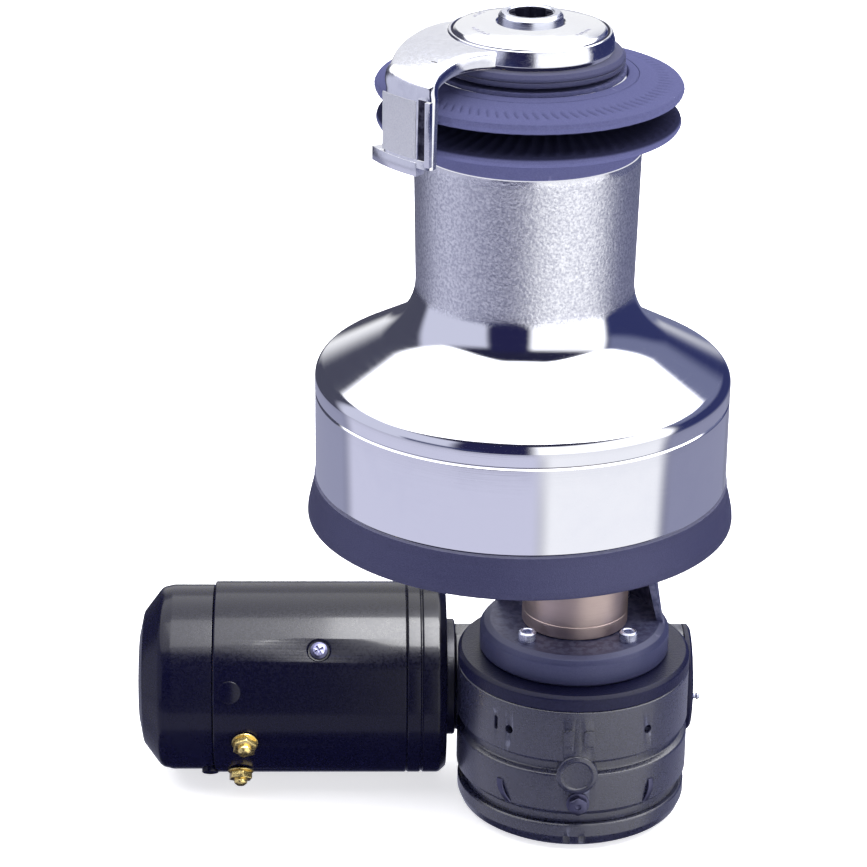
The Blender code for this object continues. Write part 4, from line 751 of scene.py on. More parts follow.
def makeJaws(size):
    foot, floor = lowerLow.z, lowerHigh.z
    rim = (lowerHigh.x - lowerLow.x) / 2
    collar, skirt, edge = 65.7 * mm, foot + 8.9 * mm, lowerHigh.z - 8.3 * mm
    slope = (floor - 1.5 * mm - (edge + 3.4 * mm)) / (66 * mm - (rim - 3.5 * mm))
    radii = [rim - 4.2 * mm - i * 1.7 * mm for i in range(14)]
    ropeFace = [(r, edge + 3.4 * mm + slope * (r - (rim - 3.5 * mm))) for r in radii if r > 62 * mm]
    lower = lathe("jaw_below", rounded([
        (48.3 * mm, floor), (48.3 * mm, foot), (collar - 0.6 * mm, foot, 0.3 * mm), (collar, foot + 0.6 * mm),
        (collar, skirt, 2.4 * mm), (collar + 3.3 * mm, skirt + 3.0 * mm, 3 * mm),
        (rim - 9 * mm, edge - 3.9 * mm, 4 * mm), (rim - 1.4 * mm, edge - 2.5 * mm, 1.8 * mm),
        (rim, edge, 1.6 * mm), (rim - 0.7 * mm, edge + 2.2 * mm, 1.0 * mm), (rim - 3.5 * mm, edge + 3.4 * mm)]
        + ropeFace + [(60 * mm, floor - 0.3 * mm), (57 * mm, floor)], steps=5), jawCoat, sides=size["sides"],
        wave=lambda r, a, z: (r, z + (ribbed(size, r, a) - 0.4 * mm
                                      if z > edge + 3.5 * mm and r > size["ribStart"] else 0)))
    settle(lower, "drum_body", "dark_anodised", "lower_jaw")

    roof, crown = upperLow.z, upperHigh.z
    rim = (upperHigh.x - upperLow.x) / 2
    edge, ledge = roof + 7.7 * mm, 56.2 * mm
    under = [(61 * mm + i * 1.6 * mm, roof + 0.3 * mm + (edge - 4.3 * mm - roof) * (i / 14) ** 1.15)
             for i in range(15)]
    topSlope = (crown - 1.2 * mm - (edge + 3.3 * mm)) / (62 * mm - (rim - 5 * mm))
    radii = [rim - 5.2 * mm - i * 1.35 * mm for i in range(17)]
    over = [(r, edge + 3.3 * mm + topSlope * (r - (rim - 5 * mm))) for r in radii if r > 63 * mm]

    def shaped(radius, angle, height):
        if height < edge - 3.4 * mm:
            return radius, height - ribbed(size, radius, angle) * (radius > 60 * mm) * 0.8
        if radius > rim - 1.3 * mm:
            return radius - size["scallop"] * (0.5 + 0.5 * math.cos(size["tickCount"] * angle)), height
        if height > edge + 3.3 * mm and radius > 58 * mm:
            lean = angle - 5.5 * (radius - size["tickStart"])
            notch = max(0.0, math.cos(size["tickCount"] * lean)) ** 3
            return radius, height - size["tickDepth"] * notch * between(radius, size["tickStart"],
                                                                         size["tickEnd"], 1.2 * mm)
        return radius, height

    upper = lathe("jaw_above", rounded([
        (48.4 * mm, crown - 6.6 * mm), (48.4 * mm, roof), (57 * mm, roof)] + under + [
        (rim - 4.4 * mm, edge - 4.2 * mm, 1 * mm), (rim - 0.9 * mm, edge - 2.7 * mm, 1.5 * mm),
        (rim, edge, 1.5 * mm), (rim - 1.5 * mm, edge + 2.4 * mm, 1.4 * mm)] + over + [
        (62.8 * mm, crown - 1.25 * mm), (62.3 * mm, crown - 1.75 * mm), (61.8 * mm, crown - 1.15 * mm),
        (ledge + 0.6 * mm, crown, 0.4 * mm), (ledge, crown - 0.6 * mm), (ledge, crown - 6.6 * mm)], steps=5),
        jawCoat, sides=8 * size["tickCount"], wave=shaped)
    settle(upper, "upper_jaw_body", "dark_anodised", "upper_jaw")


# Wave spring over the upper jaw's seat, one fixed shape riding on the drum body
jawSpring = dict(inner=49.2 * mm, waves=4, strip=0.9 * mm, lift=2.5 * mm)


def makeJawSpring(size):
    low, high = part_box("jaw_spring")
    half, middle = size["strip"] / 2, (low.z + high.z) / 2
    swing = (high.z - low.z) / 2 - half
    outer = (high.x - low.x) / 2
    spring = lathe("wave_spring", rounded([
        (size["inner"], middle - half, 0.2 * mm), (outer, middle - half, 0.2 * mm),
        (outer, middle + half, 0.2 * mm), (size["inner"], middle + half, 0.2 * mm)], steps=3), springSteel,
        sides=144, wave=lambda r, a, z: (r, z + swing * math.sin(size["waves"] * a)))
    settle(spring, "drum_body", "spring_steel", "jaw_spring")
    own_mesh(spring)


makeJaws(jaws)
makeJawSpring(jawSpring)
print("jaws made")


# Stripper ring
stripper = dict(edge=(stripHigh.x - stripLow.x) / 2, bore=36.3 * mm)


def makeStripper(size):
    low, high, edge = stripLow.z, stripHigh.z, size["edge"]
    ring = lathe("stripper", rounded([
        (size["bore"], high), (size["bore"], low), (edge - 0.9 * mm, low, 0.5 * mm),
        (edge, low + 1.0 * mm, 0.8 * mm), (edge, low + 2.9 * mm, 0.3 * mm), (edge - 0.7 * mm, low + 3.2 * mm),
        (edge - 0.7 * mm, low + 3.6 * mm), (edge, low + 3.9 * mm, 0.3 * mm),
        (edge, high - 2.2 * mm, 1.2 * mm), (edge - 1.9 * mm, high, 1.0 * mm)]), ringCoat, sides=192)
    settle(ring, "winch_body", "grey_anodised", "stripper_ring")


makeStripper(stripper)
print("stripper made")


# Self-tailing arm: hub, blade over the jaws, hanging guide and foot, one casting
arm = dict(hub=48.5 * mm, socket=45.2 * mm, bore=36.3 * mm, low=armHigh.z - 11.5 * mm, high=armHigh.z,
           seat=armHigh.z - 3.0 * mm, guideMiddle=96.3 * mm, bend=7 * mm, fall=8.6 * mm, guideBottom=240 * mm,
           guideThick=7.4 * mm, rootThick=10.4 * mm, tipThick=8.2 * mm, fillet=2.9 * mm,
           edges=((46, 150, 246), (52, 157, 240), (57.5, 166, 235), (64, 177, 232), (73.5, 190, 231.2),
                  (84, 202, 232.2), (92, 209.5, 233.6)), guideEdges=(212.3, 234.6), foot=(206.4, 229.0))


# a smooth curve through (place, value) points
def smoothly(points, value):
    if value <= points[0][0]:
        return points[0][1]
    for (x0, y0), (x1, y1), i in zip(points, points[1:], range(len(points))):
        if value <= x1:
            before = points[max(0, i - 1)]
            after = points[min(len(points) - 1, i + 2)]
            m0 = (y1 - before[1]) / (x1 - before[0]) * (x1 - x0)
            m1 = (after[1] - y0) / (after[0] - x0) * (x1 - x0)
            t = (value - x0) / (x1 - x0)
            return ((2 * t ** 3 - 3 * t ** 2 + 1) * y0 + (t ** 3 - 2 * t ** 2 + t) * m0
                    + (3 * t ** 2 - 2 * t ** 3) * y1 + (t ** 3 - t ** 2) * m1)
    return points[-1][1]


# stations along the arm: (radius, height, back edge, front edge, thickness, outward normal)
def armStations(size):
    backs = [(r * mm, a) for r, a, _ in size["edges"]]
    fronts = [(r * mm, a) for r, _, a in size["edges"]]
    lastBack, lastFront = size["guideEdges"]
    top = size["high"] - 1.2 * mm
    outside = size["guideMiddle"] + size["guideThick"] / 2
    bendStart = size["guideMiddle"] - size["bend"]
    stations = []
    for i in range(19):
        r = 45 * mm + (bendStart - 45 * mm) * i / 18
        out = max(0.0, (r - size["hub"]) / (outside - size["hub"]))
        thick = size["rootThick"] + (size["tipThick"] - size["rootThick"]) * min(1.0, 1.4 * out)
        slope = -1.5 * size["fall"] * out ** 0.5 / (outside - size["hub"])
        normal = Vector((-slope, 1)).normalized()
        z = top - size["fall"] * out ** 1.5 - thick / 2
        stations.append((r, z, smoothly(backs, r), smoothly(fronts, r), thick, normal))
    r, z, back, front, thick, normal = stations[-1]
    lean = math.atan2(normal.x, normal.y)
    centre = Vector((r, z)) - normal * size["bend"]
    bendCount = 8
    for i in range(1, bendCount + 1):
        t = i / bendCount
        turn = lean + (math.pi / 2 - lean) * t
        normal = Vector((math.sin(turn), math.cos(turn)))
        place = centre + normal * size["bend"]
        width = size["tipThick"] + (size["guideThick"] - size["tipThick"]) * t
        stations.append((place.x, place.y, back + (lastBack - back) * t, front + (lastFront - front) * t,
                         width, normal))
    r, z = stations[-1][:2]
    fall = z - size["guideBottom"]
    for i in range(1, 13):
        stations.append((r + (size["guideMiddle"] - r) * i / 12, z - fall * i / 12, lastBack, lastFront,
                         size["guideThick"], Vector((1, 0))))
    return stations


# loops of equal length joined in order, with flat ends
def lofted(name, loops, finish):
    bm = bmesh.new()
    rows = [[bm.verts.new(point) for point in loop] for loop in loops]
    for row, after in zip(rows, rows[1:]):
        for i in range(len(row)):
            j = (i + 1) % len(row)
            bm.faces.new((row[i], row[j], after[j], after[i]))
    bm.faces.new(rows[0])
    bm.faces.new(list(reversed(rows[-1])))
    return made(name, bm, finish, sharp=50)


# the arm's section at a station, its edges rounded
def armLoop(station, fillet, columns=14):
    r, z, back, front, thick, normal = station
    width = r * math.radians(front - back)
    half = thick / 2
    fillet = min(fillet, 0.98 * half)
    corners = rounded([(0, -half, fillet), (width, -half, fillet), (width, half, fillet), (0, half, fillet)],
                      steps=5)
    points = []
    for i, corner in enumerate(corners):
        following = corners[(i + 1) % len(corners)]
        points.append(corner)
        if abs(following[0] - corner[0]) > 0.3 * width:
            step = (following[0] - corner[0]) / columns
            points += [(corner[0] + step * k, corner[1]) for k in range(1, columns)]
    loop = []
    for across, up in points:
        angle = math.radians(back) + across / r
        loop.append(ringPoint(r + normal.x * up, angle, z + normal.y * up))
    return loop


def makeArm(size):
    socket, edge, low, high, tip = size["socket"], size["hub"], size["low"], size["high"], size["guideBottom"]
    hub = lathe("arm_casting", rounded([
        (socket, high, 0.4 * mm), (socket, size["seat"]), (size["bore"], size["seat"]), (size["bore"], low),
        (edge - 1.6 * mm, low, 0.5 * mm), (edge, low + 2.6 * mm, 1.6 * mm),
        (edge - 0.4 * mm, low + 7 * mm, 3 * mm), (socket + 1.5 * mm, high, 1.2 * mm)], steps=5),
        armChrome, sides=192)
    blade = lofted("blade", [armLoop(s, size["fillet"]) for s in armStations(size)], None)
    clear = slab("clear", circle(socket, 96), size["seat"], high + 0.01, None)
    combined(blade, [clear])
    start, end = size["foot"]
    outside = size["guideMiddle"] + size["guideThick"] / 2
    foot = slab("foot", band(size["guideMiddle"] - 3.0 * mm, outside + 0.3 * mm, start, end, 18), armLow.z,
                tip + 3 * mm, None, bevel=1.6 * mm)
    rim = slab("rim", band(outside - 1.5 * mm, outside + 1.4 * mm, 232.7, 234.5, 3), tip + 2 * mm,
               tip + 39 * mm, None, bevel=0.8 * mm)
    piece = combined(hub, [blade, foot, rim], "UNION")
    slot = slab("slot", band(outside - 2.4 * mm, outside + 0.01, 229.0, 232.5, 3), tip + 4.5 * mm,
                tip + 39 * mm, None)
    combined(piece, [slot])
    softened(piece, 0.5 * mm, 2, angle=38)
    settle(piece, "winch_body", "chrome", "self_tailing_arm")
    mark = slab("blade_mark", lozenge(7.4 * mm, 0.8 * mm, 0.35 * mm), -0.3 * mm, 0.14 * mm, slotBlack)
    spot = Vector(ringPoint(76 * mm, math.radians(221.7), high - 4.62 * mm))
    stoodOn(mark, spot, (-0.14, -0.11, 1), spin=0.12)
    settle(mark, "winch_body", "chrome")
    # a near-black sheet inside the guide's slot, painted shade
    slotShadeSheet = slab("slot_lining", band(outside - 2.3 * mm, outside - 1.0 * mm, 229.1, 232.4, 3),
                  tip + 4.6 * mm, tip + 38.9 * mm, slotBlack)
    settle(slotShadeSheet, "winch_body", "chrome")


def buildArmChrome():
    material, tree, shader = newMaterial("arm_chrome", (0.74, 0.75, 0.83), 1.0, 0.13)
    marks = effect(tree, toolMarks, Stretch=(90.0, 90.0, 420.0))
    grain = effect(tree, castGrain, Scale=420.0, Pits=0.3)
    dull = effect(tree, patches, Scale=22.0, Low=0.42, High=0.7)
    wearAndShade = effect(tree, edgeWearAndShade, Start=0.53, End=0.62, Scale=240.0)
    stained = blended(tree, partly(tree, dull, 0.45), (0.74, 0.75, 0.83),
                      (0.50, 0.51, 0.62))
    tree.links.new(blended(tree, partly(tree, wearAndShade, 0.7), stained, (0.92, 0.93, 0.97)),
                   shader.inputs["Base Color"])
    tree.links.new(calc(tree, "ADD", spread(tree, grain.outputs["Mask"], 0.0, 1.0, 0.09, 0.16),
                        partly(tree, dull, 0.08)), shader.inputs["Roughness"])
    height = calc(tree, "ADD", calc(tree, "MULTIPLY", marks.outputs["Height"], 0.2), grain.outputs["Height"])
    bumped(tree, shader, height, 0.08, 0.0005)
    return material


armChrome = buildArmChrome()
makeArm(arm)
print("arm made")


# Textured panel let into the guide's outer face
panel = dict(start=100.3 * mm, thick=1.2 * mm, angles=(213.6, 229.0), low=245.2 * mm, high=278.6 * mm)


def makePanel(size):
    piece = slab("grip_panel", band(size["start"], size["start"] + size["thick"], *size["angles"], 22),
                 size["low"], size["high"], panelPlastic, bevel=0.5 * mm)
    settle(piece, "winch_body", "grey_plastic", "guide_panel")


makePanel(panel)
print("panel made")


# Top cap and its small generic marks
cap = dict(edge=43.8 * mm, bore=19.2 * mm, seat=capLow.z, lip=armHigh.z + 0.35 * mm, top=capHigh.z)


def capHeight(size, radius):
    out = (radius - size["bore"]) / (size["edge"] - size["bore"])
    return size["top"] - (size["top"] - size["lip"] - 0.6 * mm) * max(0.0, out) ** 2.1


def makeCap(size):
    bore, edge, seat, top = size["bore"], size["edge"], size["seat"], size["top"]
    radii = [edge - 1.0 * mm - i * (edge - bore - 3.4 * mm) / 22 for i in range(23)]
    wall = rounded([(bore, seat), (edge - 0.6 * mm, seat), (edge, seat + 0.6 * mm),
                    (edge, size["lip"] - 0.2 * mm, 0.4 * mm)], closed=False, steps=4)
    dome = [(r, capHeight(size, r)) for r in radii] + [(bore + 0.8 * mm, top), (bore, top - 0.8 * mm)]
    piece = lathe("cap_disc", wall + dome, capChrome, sides=224)
    settle(piece, "winch_body", "chrome", "top_cap")


def makeCapMarks(size):
    dark, red = [], []
    for angle, count, shade in ((150, 5, dark), (212, 7, dark), (330, 6, dark), (262, 3, red)):
        for i in range(count):
            turn = math.radians(angle + 4.4 * (i - count / 2))
            radius = 33.5 * mm + 0.5 * mm * (i % 2)
            width = (0.65 if i % 3 else 0.4) * mm
            corners = [(-width, -1.5 * mm), (width, -1.5 * mm), (width, 1.5 * mm), (-width, 1.5 * mm)]
            bar = slab("bar", corners, 0, 0.12 * mm, markRed if shade is red else markInk)
            spot = Vector(ringPoint(radius, turn, capHeight(size, radius) - 0.04 * mm))
            bar.data.transform(Matrix.Translation(spot) @ Matrix.Rotation(turn + math.pi / 2, 4, "Z"))
            shade.append(bar)
    settle(gathered("cap_marks", dark), "winch_body", "chrome")
    settle(gathered("cap_marks_red", red), "winch_body", "chrome")


# a near-black ring at the bottom of the gap between the cap and the arm's socket, painted shade
def makeCapGapShade(size):
    inner, outer = size["edge"] + 0.1 * mm, arm["socket"] - 0.05 * mm
    low, high = armHigh.z - 2.4 * mm, armHigh.z - 0.5 * mm
    ring = lathe("cap_gasket", rounded([(inner, low), (outer, low), (outer, high), (inner, high)]), slotBlack,
                 sides=192)
    settle(ring, "winch_body", "chrome")


makeCap(cap)
makeCapGapShade(cap)
makeCapMarks(cap)
print("cap made")


# Handle spindle with its eight-point socket
spindle = dict(square=17.46 * mm, depth=34 * mm, collar=18.5 * mm, pocketLow=13.1 * mm, pocketHigh=22.9 * mm,
               pocket=((16, 5.6), (9.6, 5.6), (7.1, -2.6), (7.9, -5.4), (9.3, -6.3), (16, -6.3)))


# two squares of one side, an eighth of a turn apart
def star(side):
    reaches = (side / math.sqrt(2), side / 2 / math.cos(math.radians(22.5)))
    return [ringPoint(reaches[i % 2], math.radians(22.5 * i), 0)[:2] for i in range(16)]


def makeSpindle(size):
    foot, top = spindleLow.z, spindleHigh.z
    collar, neck = size["collar"], spindleHigh.z - 11 * mm
    shaft = lathe("handle_shaft", rounded([
        (0, foot), (9 * mm, foot), (12.6 * mm, foot + 1 * mm), (12.6 * mm, 25 * mm, 0.5 * mm),
        (11 * mm, 25 * mm), (11 * mm, 62 * mm), (14 * mm, 65 * mm), (14 * mm, neck),
        (collar - 1.4 * mm, neck, 0.4 * mm), (collar, neck + 2 * mm, 0.6 * mm),
        (collar, top - 2.0 * mm, 1.4 * mm), (collar - 1.9 * mm, top, 0.7 * mm), (13.6 * mm, top),
        (13.1 * mm, top - 0.7 * mm), (0, top - 0.7 * mm)], closed=False, steps=5), spindleSteel, sides=128)
    socket = slab("socket", star(size["square"]), top - size["depth"], top + 0.01, None)
    pockets = [slab("pocket", [(x * mm, y * mm) for x, y in size["pocket"]], size["pocketLow"],
                    size["pocketHigh"], None) for _ in range(2)]
    pockets[1].data.transform(Matrix.Rotation(math.pi, 4, "Z"))
    combined(shaft, [socket, *pockets])
    softened(shaft, 0.3 * mm, 2, angle=40)
    # the socket's walls take the near-black finish, painted shade inside the socket
    shaft.data.materials.append(slotBlack)
    for face in shaft.data.polygons:
        if face.center.xy.length < 12.5 * mm and face.center.z > top - size["depth"] - 1 * mm:
            face.material_index = 1
    settle(shaft, "handle_spindle", "chrome", "main_spindle")


makeSpindle(spindle)
print("spindle made")


# Drive tube, flange with its leaning web, bolts
tube = dict(radius=(tubeHigh.x - tubeLow.x) / 2, bore=26 * mm)
flange = dict(radius=57.5 * mm, top=-71.7 * mm, bottom=flangeLow.z, bore=19 * mm, webHeight=flangeHigh.z,
              webAngles=(-5.0, 150.0), webInner=51.3 * mm, webOuter=55.1 * mm, lean=0.86, boltCircle=43 * mm,
              boltHole=4.4 * mm, head=5.4 * mm, headHeight=6 * mm, boltFoot=flangeLow.z + 0.3 * mm)


def makeTube(size):
    low, high = tubeLow.z, tubeHigh.z
    radius, bore = size["radius"], size["bore"]
    piece = lathe("bronze_tube", rounded([
        (bore, high), (bore, low), (radius - 0.6 * mm, low), (radius, low + 0.6 * mm),
        (radius, low + 8.0 * mm), (radius - 0.25 * mm, low + 8.3 * mm), (radius, low + 8.6 * mm),
        (radius, -3.5 * mm), (radius - 0.5 * mm, -3.0 * mm), (radius - 0.5 * mm, high)]), tubeBronze,
        sides=128, centre=(driveX, 0))
    settle(piece, "winch_body", "bronze", "drive_tube")


def boltSpots(size):
    return circle(size["boltCircle"], 4, phase=math.pi / 4)


def makeFlange(size):
    top, low, edge = size["top"], size["bottom"], size["radius"]
    plate = lathe("flange_plate", rounded([
        (size["bore"], top), (size["bore"], low), (edge - 1.3 * mm, low, 0.6 * mm),
        (edge, low + 1.4 * mm, 0.8 * mm), (edge, top - 4.4 * mm, 1.5 * mm),
        (edge - 2.2 * mm, top - 1.6 * mm, 2 * mm),
        (edge - 6 * mm, top, 2 * mm)], steps=5), flangeCoat, sides=144, centre=(driveX, 0))
    start, end = size["webAngles"]
    loops = []
    steps = 48
    foot, peak = top - 6 * mm, size["webHeight"]
    for i in range(steps + 1):
        angle = math.radians(start + (end - start) * i / steps)
        near = min(1.0, min(i, steps - i) / 7)
        crest = foot + (peak - foot) * (0.55 + 0.45 * math.sin(near * math.pi / 2))
        shape = rounded([(size["webInner"], foot), (size["webOuter"], foot),
                         (size["webOuter"] * size["lean"], crest, 1.4 * mm),
                         (size["webInner"] * size["lean"], crest, 1.4 * mm)], steps=4)
        loops.append([ringPoint(r, angle, z) for r, z in shape])
    web = lofted("web", loops, None)
    web.data.transform(Matrix.Translation(driveAxis))
    combined(plate, [web], "UNION")
    holes = [slab("way", circle(size["boltHole"], 32, (driveX + x, y)), low - 0.01, top + 0.02, None)
             for x, y in boltSpots(size)]
    eye = slab("eye", circle(3 * mm, 28), -12 * mm, 12 * mm, None)
    outward = sideways(139)
    stoodOn(eye, driveAxis + 50 * mm * outward - 48 * mm * upward, outward + 0.2 * upward)
    combined(plate, holes + [eye])
    softened(plate, 0.4 * mm, 2, angle=40)
    settle(plate, "winch_body", "grey_anodised", "drive_flange")


def makeBolts(size):
    seat, foot = size["top"], size["boltFoot"]
    top = seat + size["headHeight"]
    head, shank = size["head"], 4 * mm

    def knurled(radius, angle, height):
        grip = radius > head - 0.1 * mm and seat + 0.5 * mm < height < top - 0.8 * mm
        return radius - (0.18 * mm * (0.5 + 0.5 * math.cos(36 * angle)) if grip else 0), height

    outline = rounded([
        (0, foot), (shank - 0.5 * mm, foot), (shank, foot + 0.5 * mm), (shank, seat), (head, seat, 0.2 * mm),
        (head, seat + 0.7 * mm), (head, top - 0.9 * mm), (head - 0.9 * mm, top, 0.5 * mm), (3.9 * mm, top),
        (3.5 * mm, top - 0.4 * mm), (0, top - 0.4 * mm)], closed=False, steps=3)
    for i, (x, y) in enumerate(boltSpots(size)):
        spot = (driveX + x, y)
        bolt = lathe(f"socket_bolt_{i + 1}", outline, boltSteel, sides=144, wave=knurled, centre=spot)
        key = slab("key", circle(3.2 * mm, 6, spot, phase=0.3 + i), top - 3.2 * mm, top + 0.01, None)
        settle(combined(bolt, [key]), "winch_body", "steel", f"flange_bolt_{i + 1}")


makeTube(tube)
makeFlange(flange)
makeBolts(flange)
print("tube and flange made")


# Worm gearbox
gearbox = dict(radius=70.6 * mm, wall=8 * mm, groove=4 * mm, drop=37.7 * mm, tunnel=33 * mm,
               tunnelBore=24.4 * mm, sides=168)


# a small shape made about +Z, stood on the round side of the gearbox at an angle and a height
def onGearbox(piece, degrees, height, sink=0.0, spin=0.0):
    outward = sideways(degrees)
    spot = driveAxis + outward * (gearbox["radius"] - sink) + upward * height
    turned = Matrix(((-outward.y, 0, outward.x, 0), (outward.x, 0, outward.y, 0), (0, 1, 0, 0), (0, 0, 0, 1)))
    piece.data.transform(Matrix.Translation(spot) @ turned @ Matrix.Rotation(spin, 4, "Z"))
    return piece


def makeGearbox(size):
    radius, groove = size["radius"], size["radius"] - size["groove"]
    inside = radius - size["wall"]
    cover = lathe("cover_plate", rounded([
        (19 * mm, coverHigh.z), (19 * mm, coverLow.z), (radius - 0.5 * mm, coverLow.z, 0.4 * mm),
        (radius, coverLow.z + 0.6 * mm, 0.5 * mm), (radius, coverHigh.z - 2.0 * mm, 1.3 * mm),
        (radius - 2.2 * mm, coverHigh.z, 0.8 * mm)]), gearboxPaint, sides=size["sides"], centre=(driveX, 0))
    settle(cover, "winch_body", "black_casting", "gearbox_cover")

    top, low = housingHigh.z, housingLow.z
    split, lower = top - size["drop"], low + 9 * mm
    body = lathe("gearbox_body", rounded([
        (inside, top), (inside, low), (groove, low), (groove, lower - 3.2 * mm, 1.5 * mm),
        (radius, lower, 1.6 * mm), (radius, split - 4.6 * mm, 1.6 * mm), (groove, split - 2.8 * mm, 1.6 * mm),
        (groove, split + 2.8 * mm, 1.6 * mm), (radius, split + 4.6 * mm, 1.6 * mm),
        (radius, top - 0.6 * mm, 0.5 * mm), (radius - 0.6 * mm, top)], steps=5), bodyPaint,
        sides=size["sides"], centre=(driveX, 0))
    tunnelStart, tunnelEnd = adapterHigh.x + 0.3 * mm, endCapLow.x - 0.3 * mm
    tunnel = lathe("tunnel", rounded([
        (0, tunnelStart), (size["tunnel"], tunnelStart, 0.8 * mm), (size["tunnel"], tunnelEnd, 0.8 * mm),
        (0, tunnelEnd)], closed=False), None, sides=96, along="X")
    proud = [tunnel]
    for degrees in (-95.2, -85.5):
        lug = slab("lug", lozenge(6 * mm, 10 * mm, 1.5 * mm), -3 * mm, 1.9 * mm, None, bevel=0.7 * mm)
        proud.append(onGearbox(lug, degrees, -117 * mm))
    boss = turnedSmall("boss", [
        (0, -6), (12.5, -6), (12.5, 1.6, 1.2), (9.5, 2.4, 1.0), (8.8, 1.2, 0.6), (0, 1.0)], None, 64)
    proud.append(onGearbox(boss, -90.8, -141.8 * mm, sink=0.6 * mm))
    combined(body, proud, "UNION")
    cavity = slab("cavity", circle(inside - 0.5 * mm, 96, (driveX, 0)), low - 0.005, top + 0.005, None)
    bore = slab("bore", circle(size["tunnelBore"], 72), tunnelStart - 0.01, tunnelEnd + 0.01, None, along="X")
    roof = slab("roof", circle(2 * radius, 32, (driveX, 0)), top, top + 0.04, None)
    cuts = [cavity, bore, roof]
    for degrees in (-126, -53.7):
        dot = slab("dot", circle(2.7 * mm, 32), -5 * mm, 5 * mm, None)
        cuts.append(onGearbox(dot, degrees, -118 * mm))
    slit = slab("slit", lozenge(2.6 * mm, 9 * mm, 1.2 * mm), -3.5 * mm, 5 * mm, None)
    cuts.append(onGearbox(slit, -134, -116.5 * mm))
    combined(body, cuts, solver="MANIFOLD")
    softened(body, 0.35 * mm, 2, angle=42)
    settle(body, "winch_body", "black_casting", "gearbox_housing")

    edge = radius - 0.8 * mm
    floor, high = bottomLow.z, bottomHigh.z
    lid = lathe("bottom_lid", rounded([
        (0, floor), (edge - 9.5 * mm, floor, 4 * mm), (edge - 2.4 * mm, floor + 4.6 * mm, 4 * mm),
        (edge, floor + 10.5 * mm, 3 * mm), (edge, high - 1.0 * mm, 0.6 * mm),
        (edge - 0.9 * mm, high, 0.3 * mm), (19 * mm, high), (19 * mm, high - 10 * mm), (0, high - 10 * mm)],
        closed=False), bodyPaint,
        sides=size["sides"], centre=(driveX, 0))
    notches = [onGearbox(slab("notch", lozenge(4.2 * mm, 9 * mm, 1.2 * mm), -5 * mm, 5 * mm, None), degrees,
                         -188.4 * mm) for degrees in (-95.1, -87.3)]
    combined(lid, notches)
    softened(lid, 0.4 * mm, 2, angle=42)
    settle(lid, "winch_body", "black_casting", "bottom_cap")


def makeClips():
    clips = []
    for foot, head in (((-130.7, -153.0), (-125.6, -166.0)), ((-51.0, -152.4), (-53.8, -166.3))):
        loops = []
        for i in range(13):
            t = i / 12
            degrees = foot[0] + (head[0] - foot[0]) * t ** 1.6
            height = (foot[1] + (head[1] - foot[1]) * t) * mm
            outward = sideways(degrees)
            side = sideways(degrees + 90)
            rise = 0.5 * mm + 1.1 * mm * math.sin(math.pi * t)
            middle = driveAxis + outward * (gearbox["radius"] + rise - 0.4 * mm) + upward * height
            loops.append([middle + side * x + outward * y
                          for x, y in lozenge(4.2 * mm, 1.6 * mm, 0.7 * mm)])
        clips.append(lofted("clip", loops, darkSteel))
    settle(gathered("clips", clips), "winch_body", "steel")


def makePlug():
    plug = turnedSmall("hex_plug", [(0, 0), (7.0, 0), (7.0, 0.9, 0.4), (4.4, 1.2), (4.4, 1.6), (0, 1.6)],
                       darkSteel, 64)
    head = slab("head", circle(6.1 * mm, 6, phase=math.pi / 6), 1.0 * mm, 5.0 * mm, darkSteel, bevel=0.5 * mm)
    dimple = lathe("dimple", [(0, 3.9 * mm), (1.6 * mm, 4.4 * mm), (2.2 * mm, 6 * mm), (0, 6 * mm)], None,
                   sides=48)
    combined(head, [dimple])
    combined(plug, [head], "UNION")
    onGearbox(plug, -90.0, (plugLow.z + plugHigh.z) / 2, sink=-0.3 * mm)
    settle(plug, "winch_body", "steel", "drain_plug")


def makeWormEnd():
    start, end = endCapLow.x, endCapHigh.x
    disc = lathe("end_disc", rounded([
        (0, start), (33 * mm, start, 0.4 * mm), (33 * mm, end - 1.6 * mm, 1.2 * mm), (31 * mm, end, 0.8 * mm),
        (26 * mm, end), (25.4 * mm, end - 0.8 * mm), (0, end - 0.8 * mm)], closed=False), gearboxPaint,
        sides=112, along="X")
    screws = []
    for y, z in circle(20 * mm, 4, (wormY, wormZ), phase=math.pi / 4):
        screw = turnedSmall("screw", [(0, 0), (3.2, 0), (3.2, 0.7, 0.4), (2.6, 1.1), (0, 1.1)], boltSteel, 40)
        combined(screw, [slab("key", circle(1.6 * mm, 6), 0.3 * mm, 3 * mm, None)])
        screws.append(stoodOn(screw, Vector((end - 1.2 * mm, y, z)), (1, 0, 0)))
    settle(disc, "winch_body", "black_casting", "worm_end_cap")
    settle(gathered("end_screws", screws), "winch_body", "steel")
    low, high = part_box("grease_nipple")
    body = turnedSmall("nipple", [
        (0, 0), (2.8, 0), (2.8, 1.8, 0.3), (1.5, 2.4, 0.5), (1.4, 3.2, 0.5), (2.2, 4.4, 0.5), (1.3, 5.9, 0.4),
        (0, 6)], boltSteel, 48)
    stoodOn(body, Vector((low.x, (low.y + high.y) / 2, (low.z + high.z) / 2)), (1, 0, 0))
    settle(body, "winch_body", "steel", "grease_nipple")


makeGearbox(gearbox)
makeClips()
makePlug()
makeWormEnd()
print("gearbox made")


# Motor
motor = dict(radius=59.5 * mm, wall=5 * mm, rearRadius=57.5 * mm, sides=192, poleScrew=(-120.5 * mm, 42.2),
             terminals=((-165.7 * mm, -15.7), (-169.0 * mm, -48.5)))


# a small shape made about +Z, stood on the motor's round side at x and an angle above the horizontal
def onMotor(piece, x, degrees, sink=0.0, spin=0.0):
    turn = math.radians(degrees)
    outward = Vector((0, -math.cos(turn), math.sin(turn)))
    spot = Vector((x, wormY, wormZ)) + outward * (motor["radius"] - sink)
    return stoodOn(piece, spot, outward, spin)


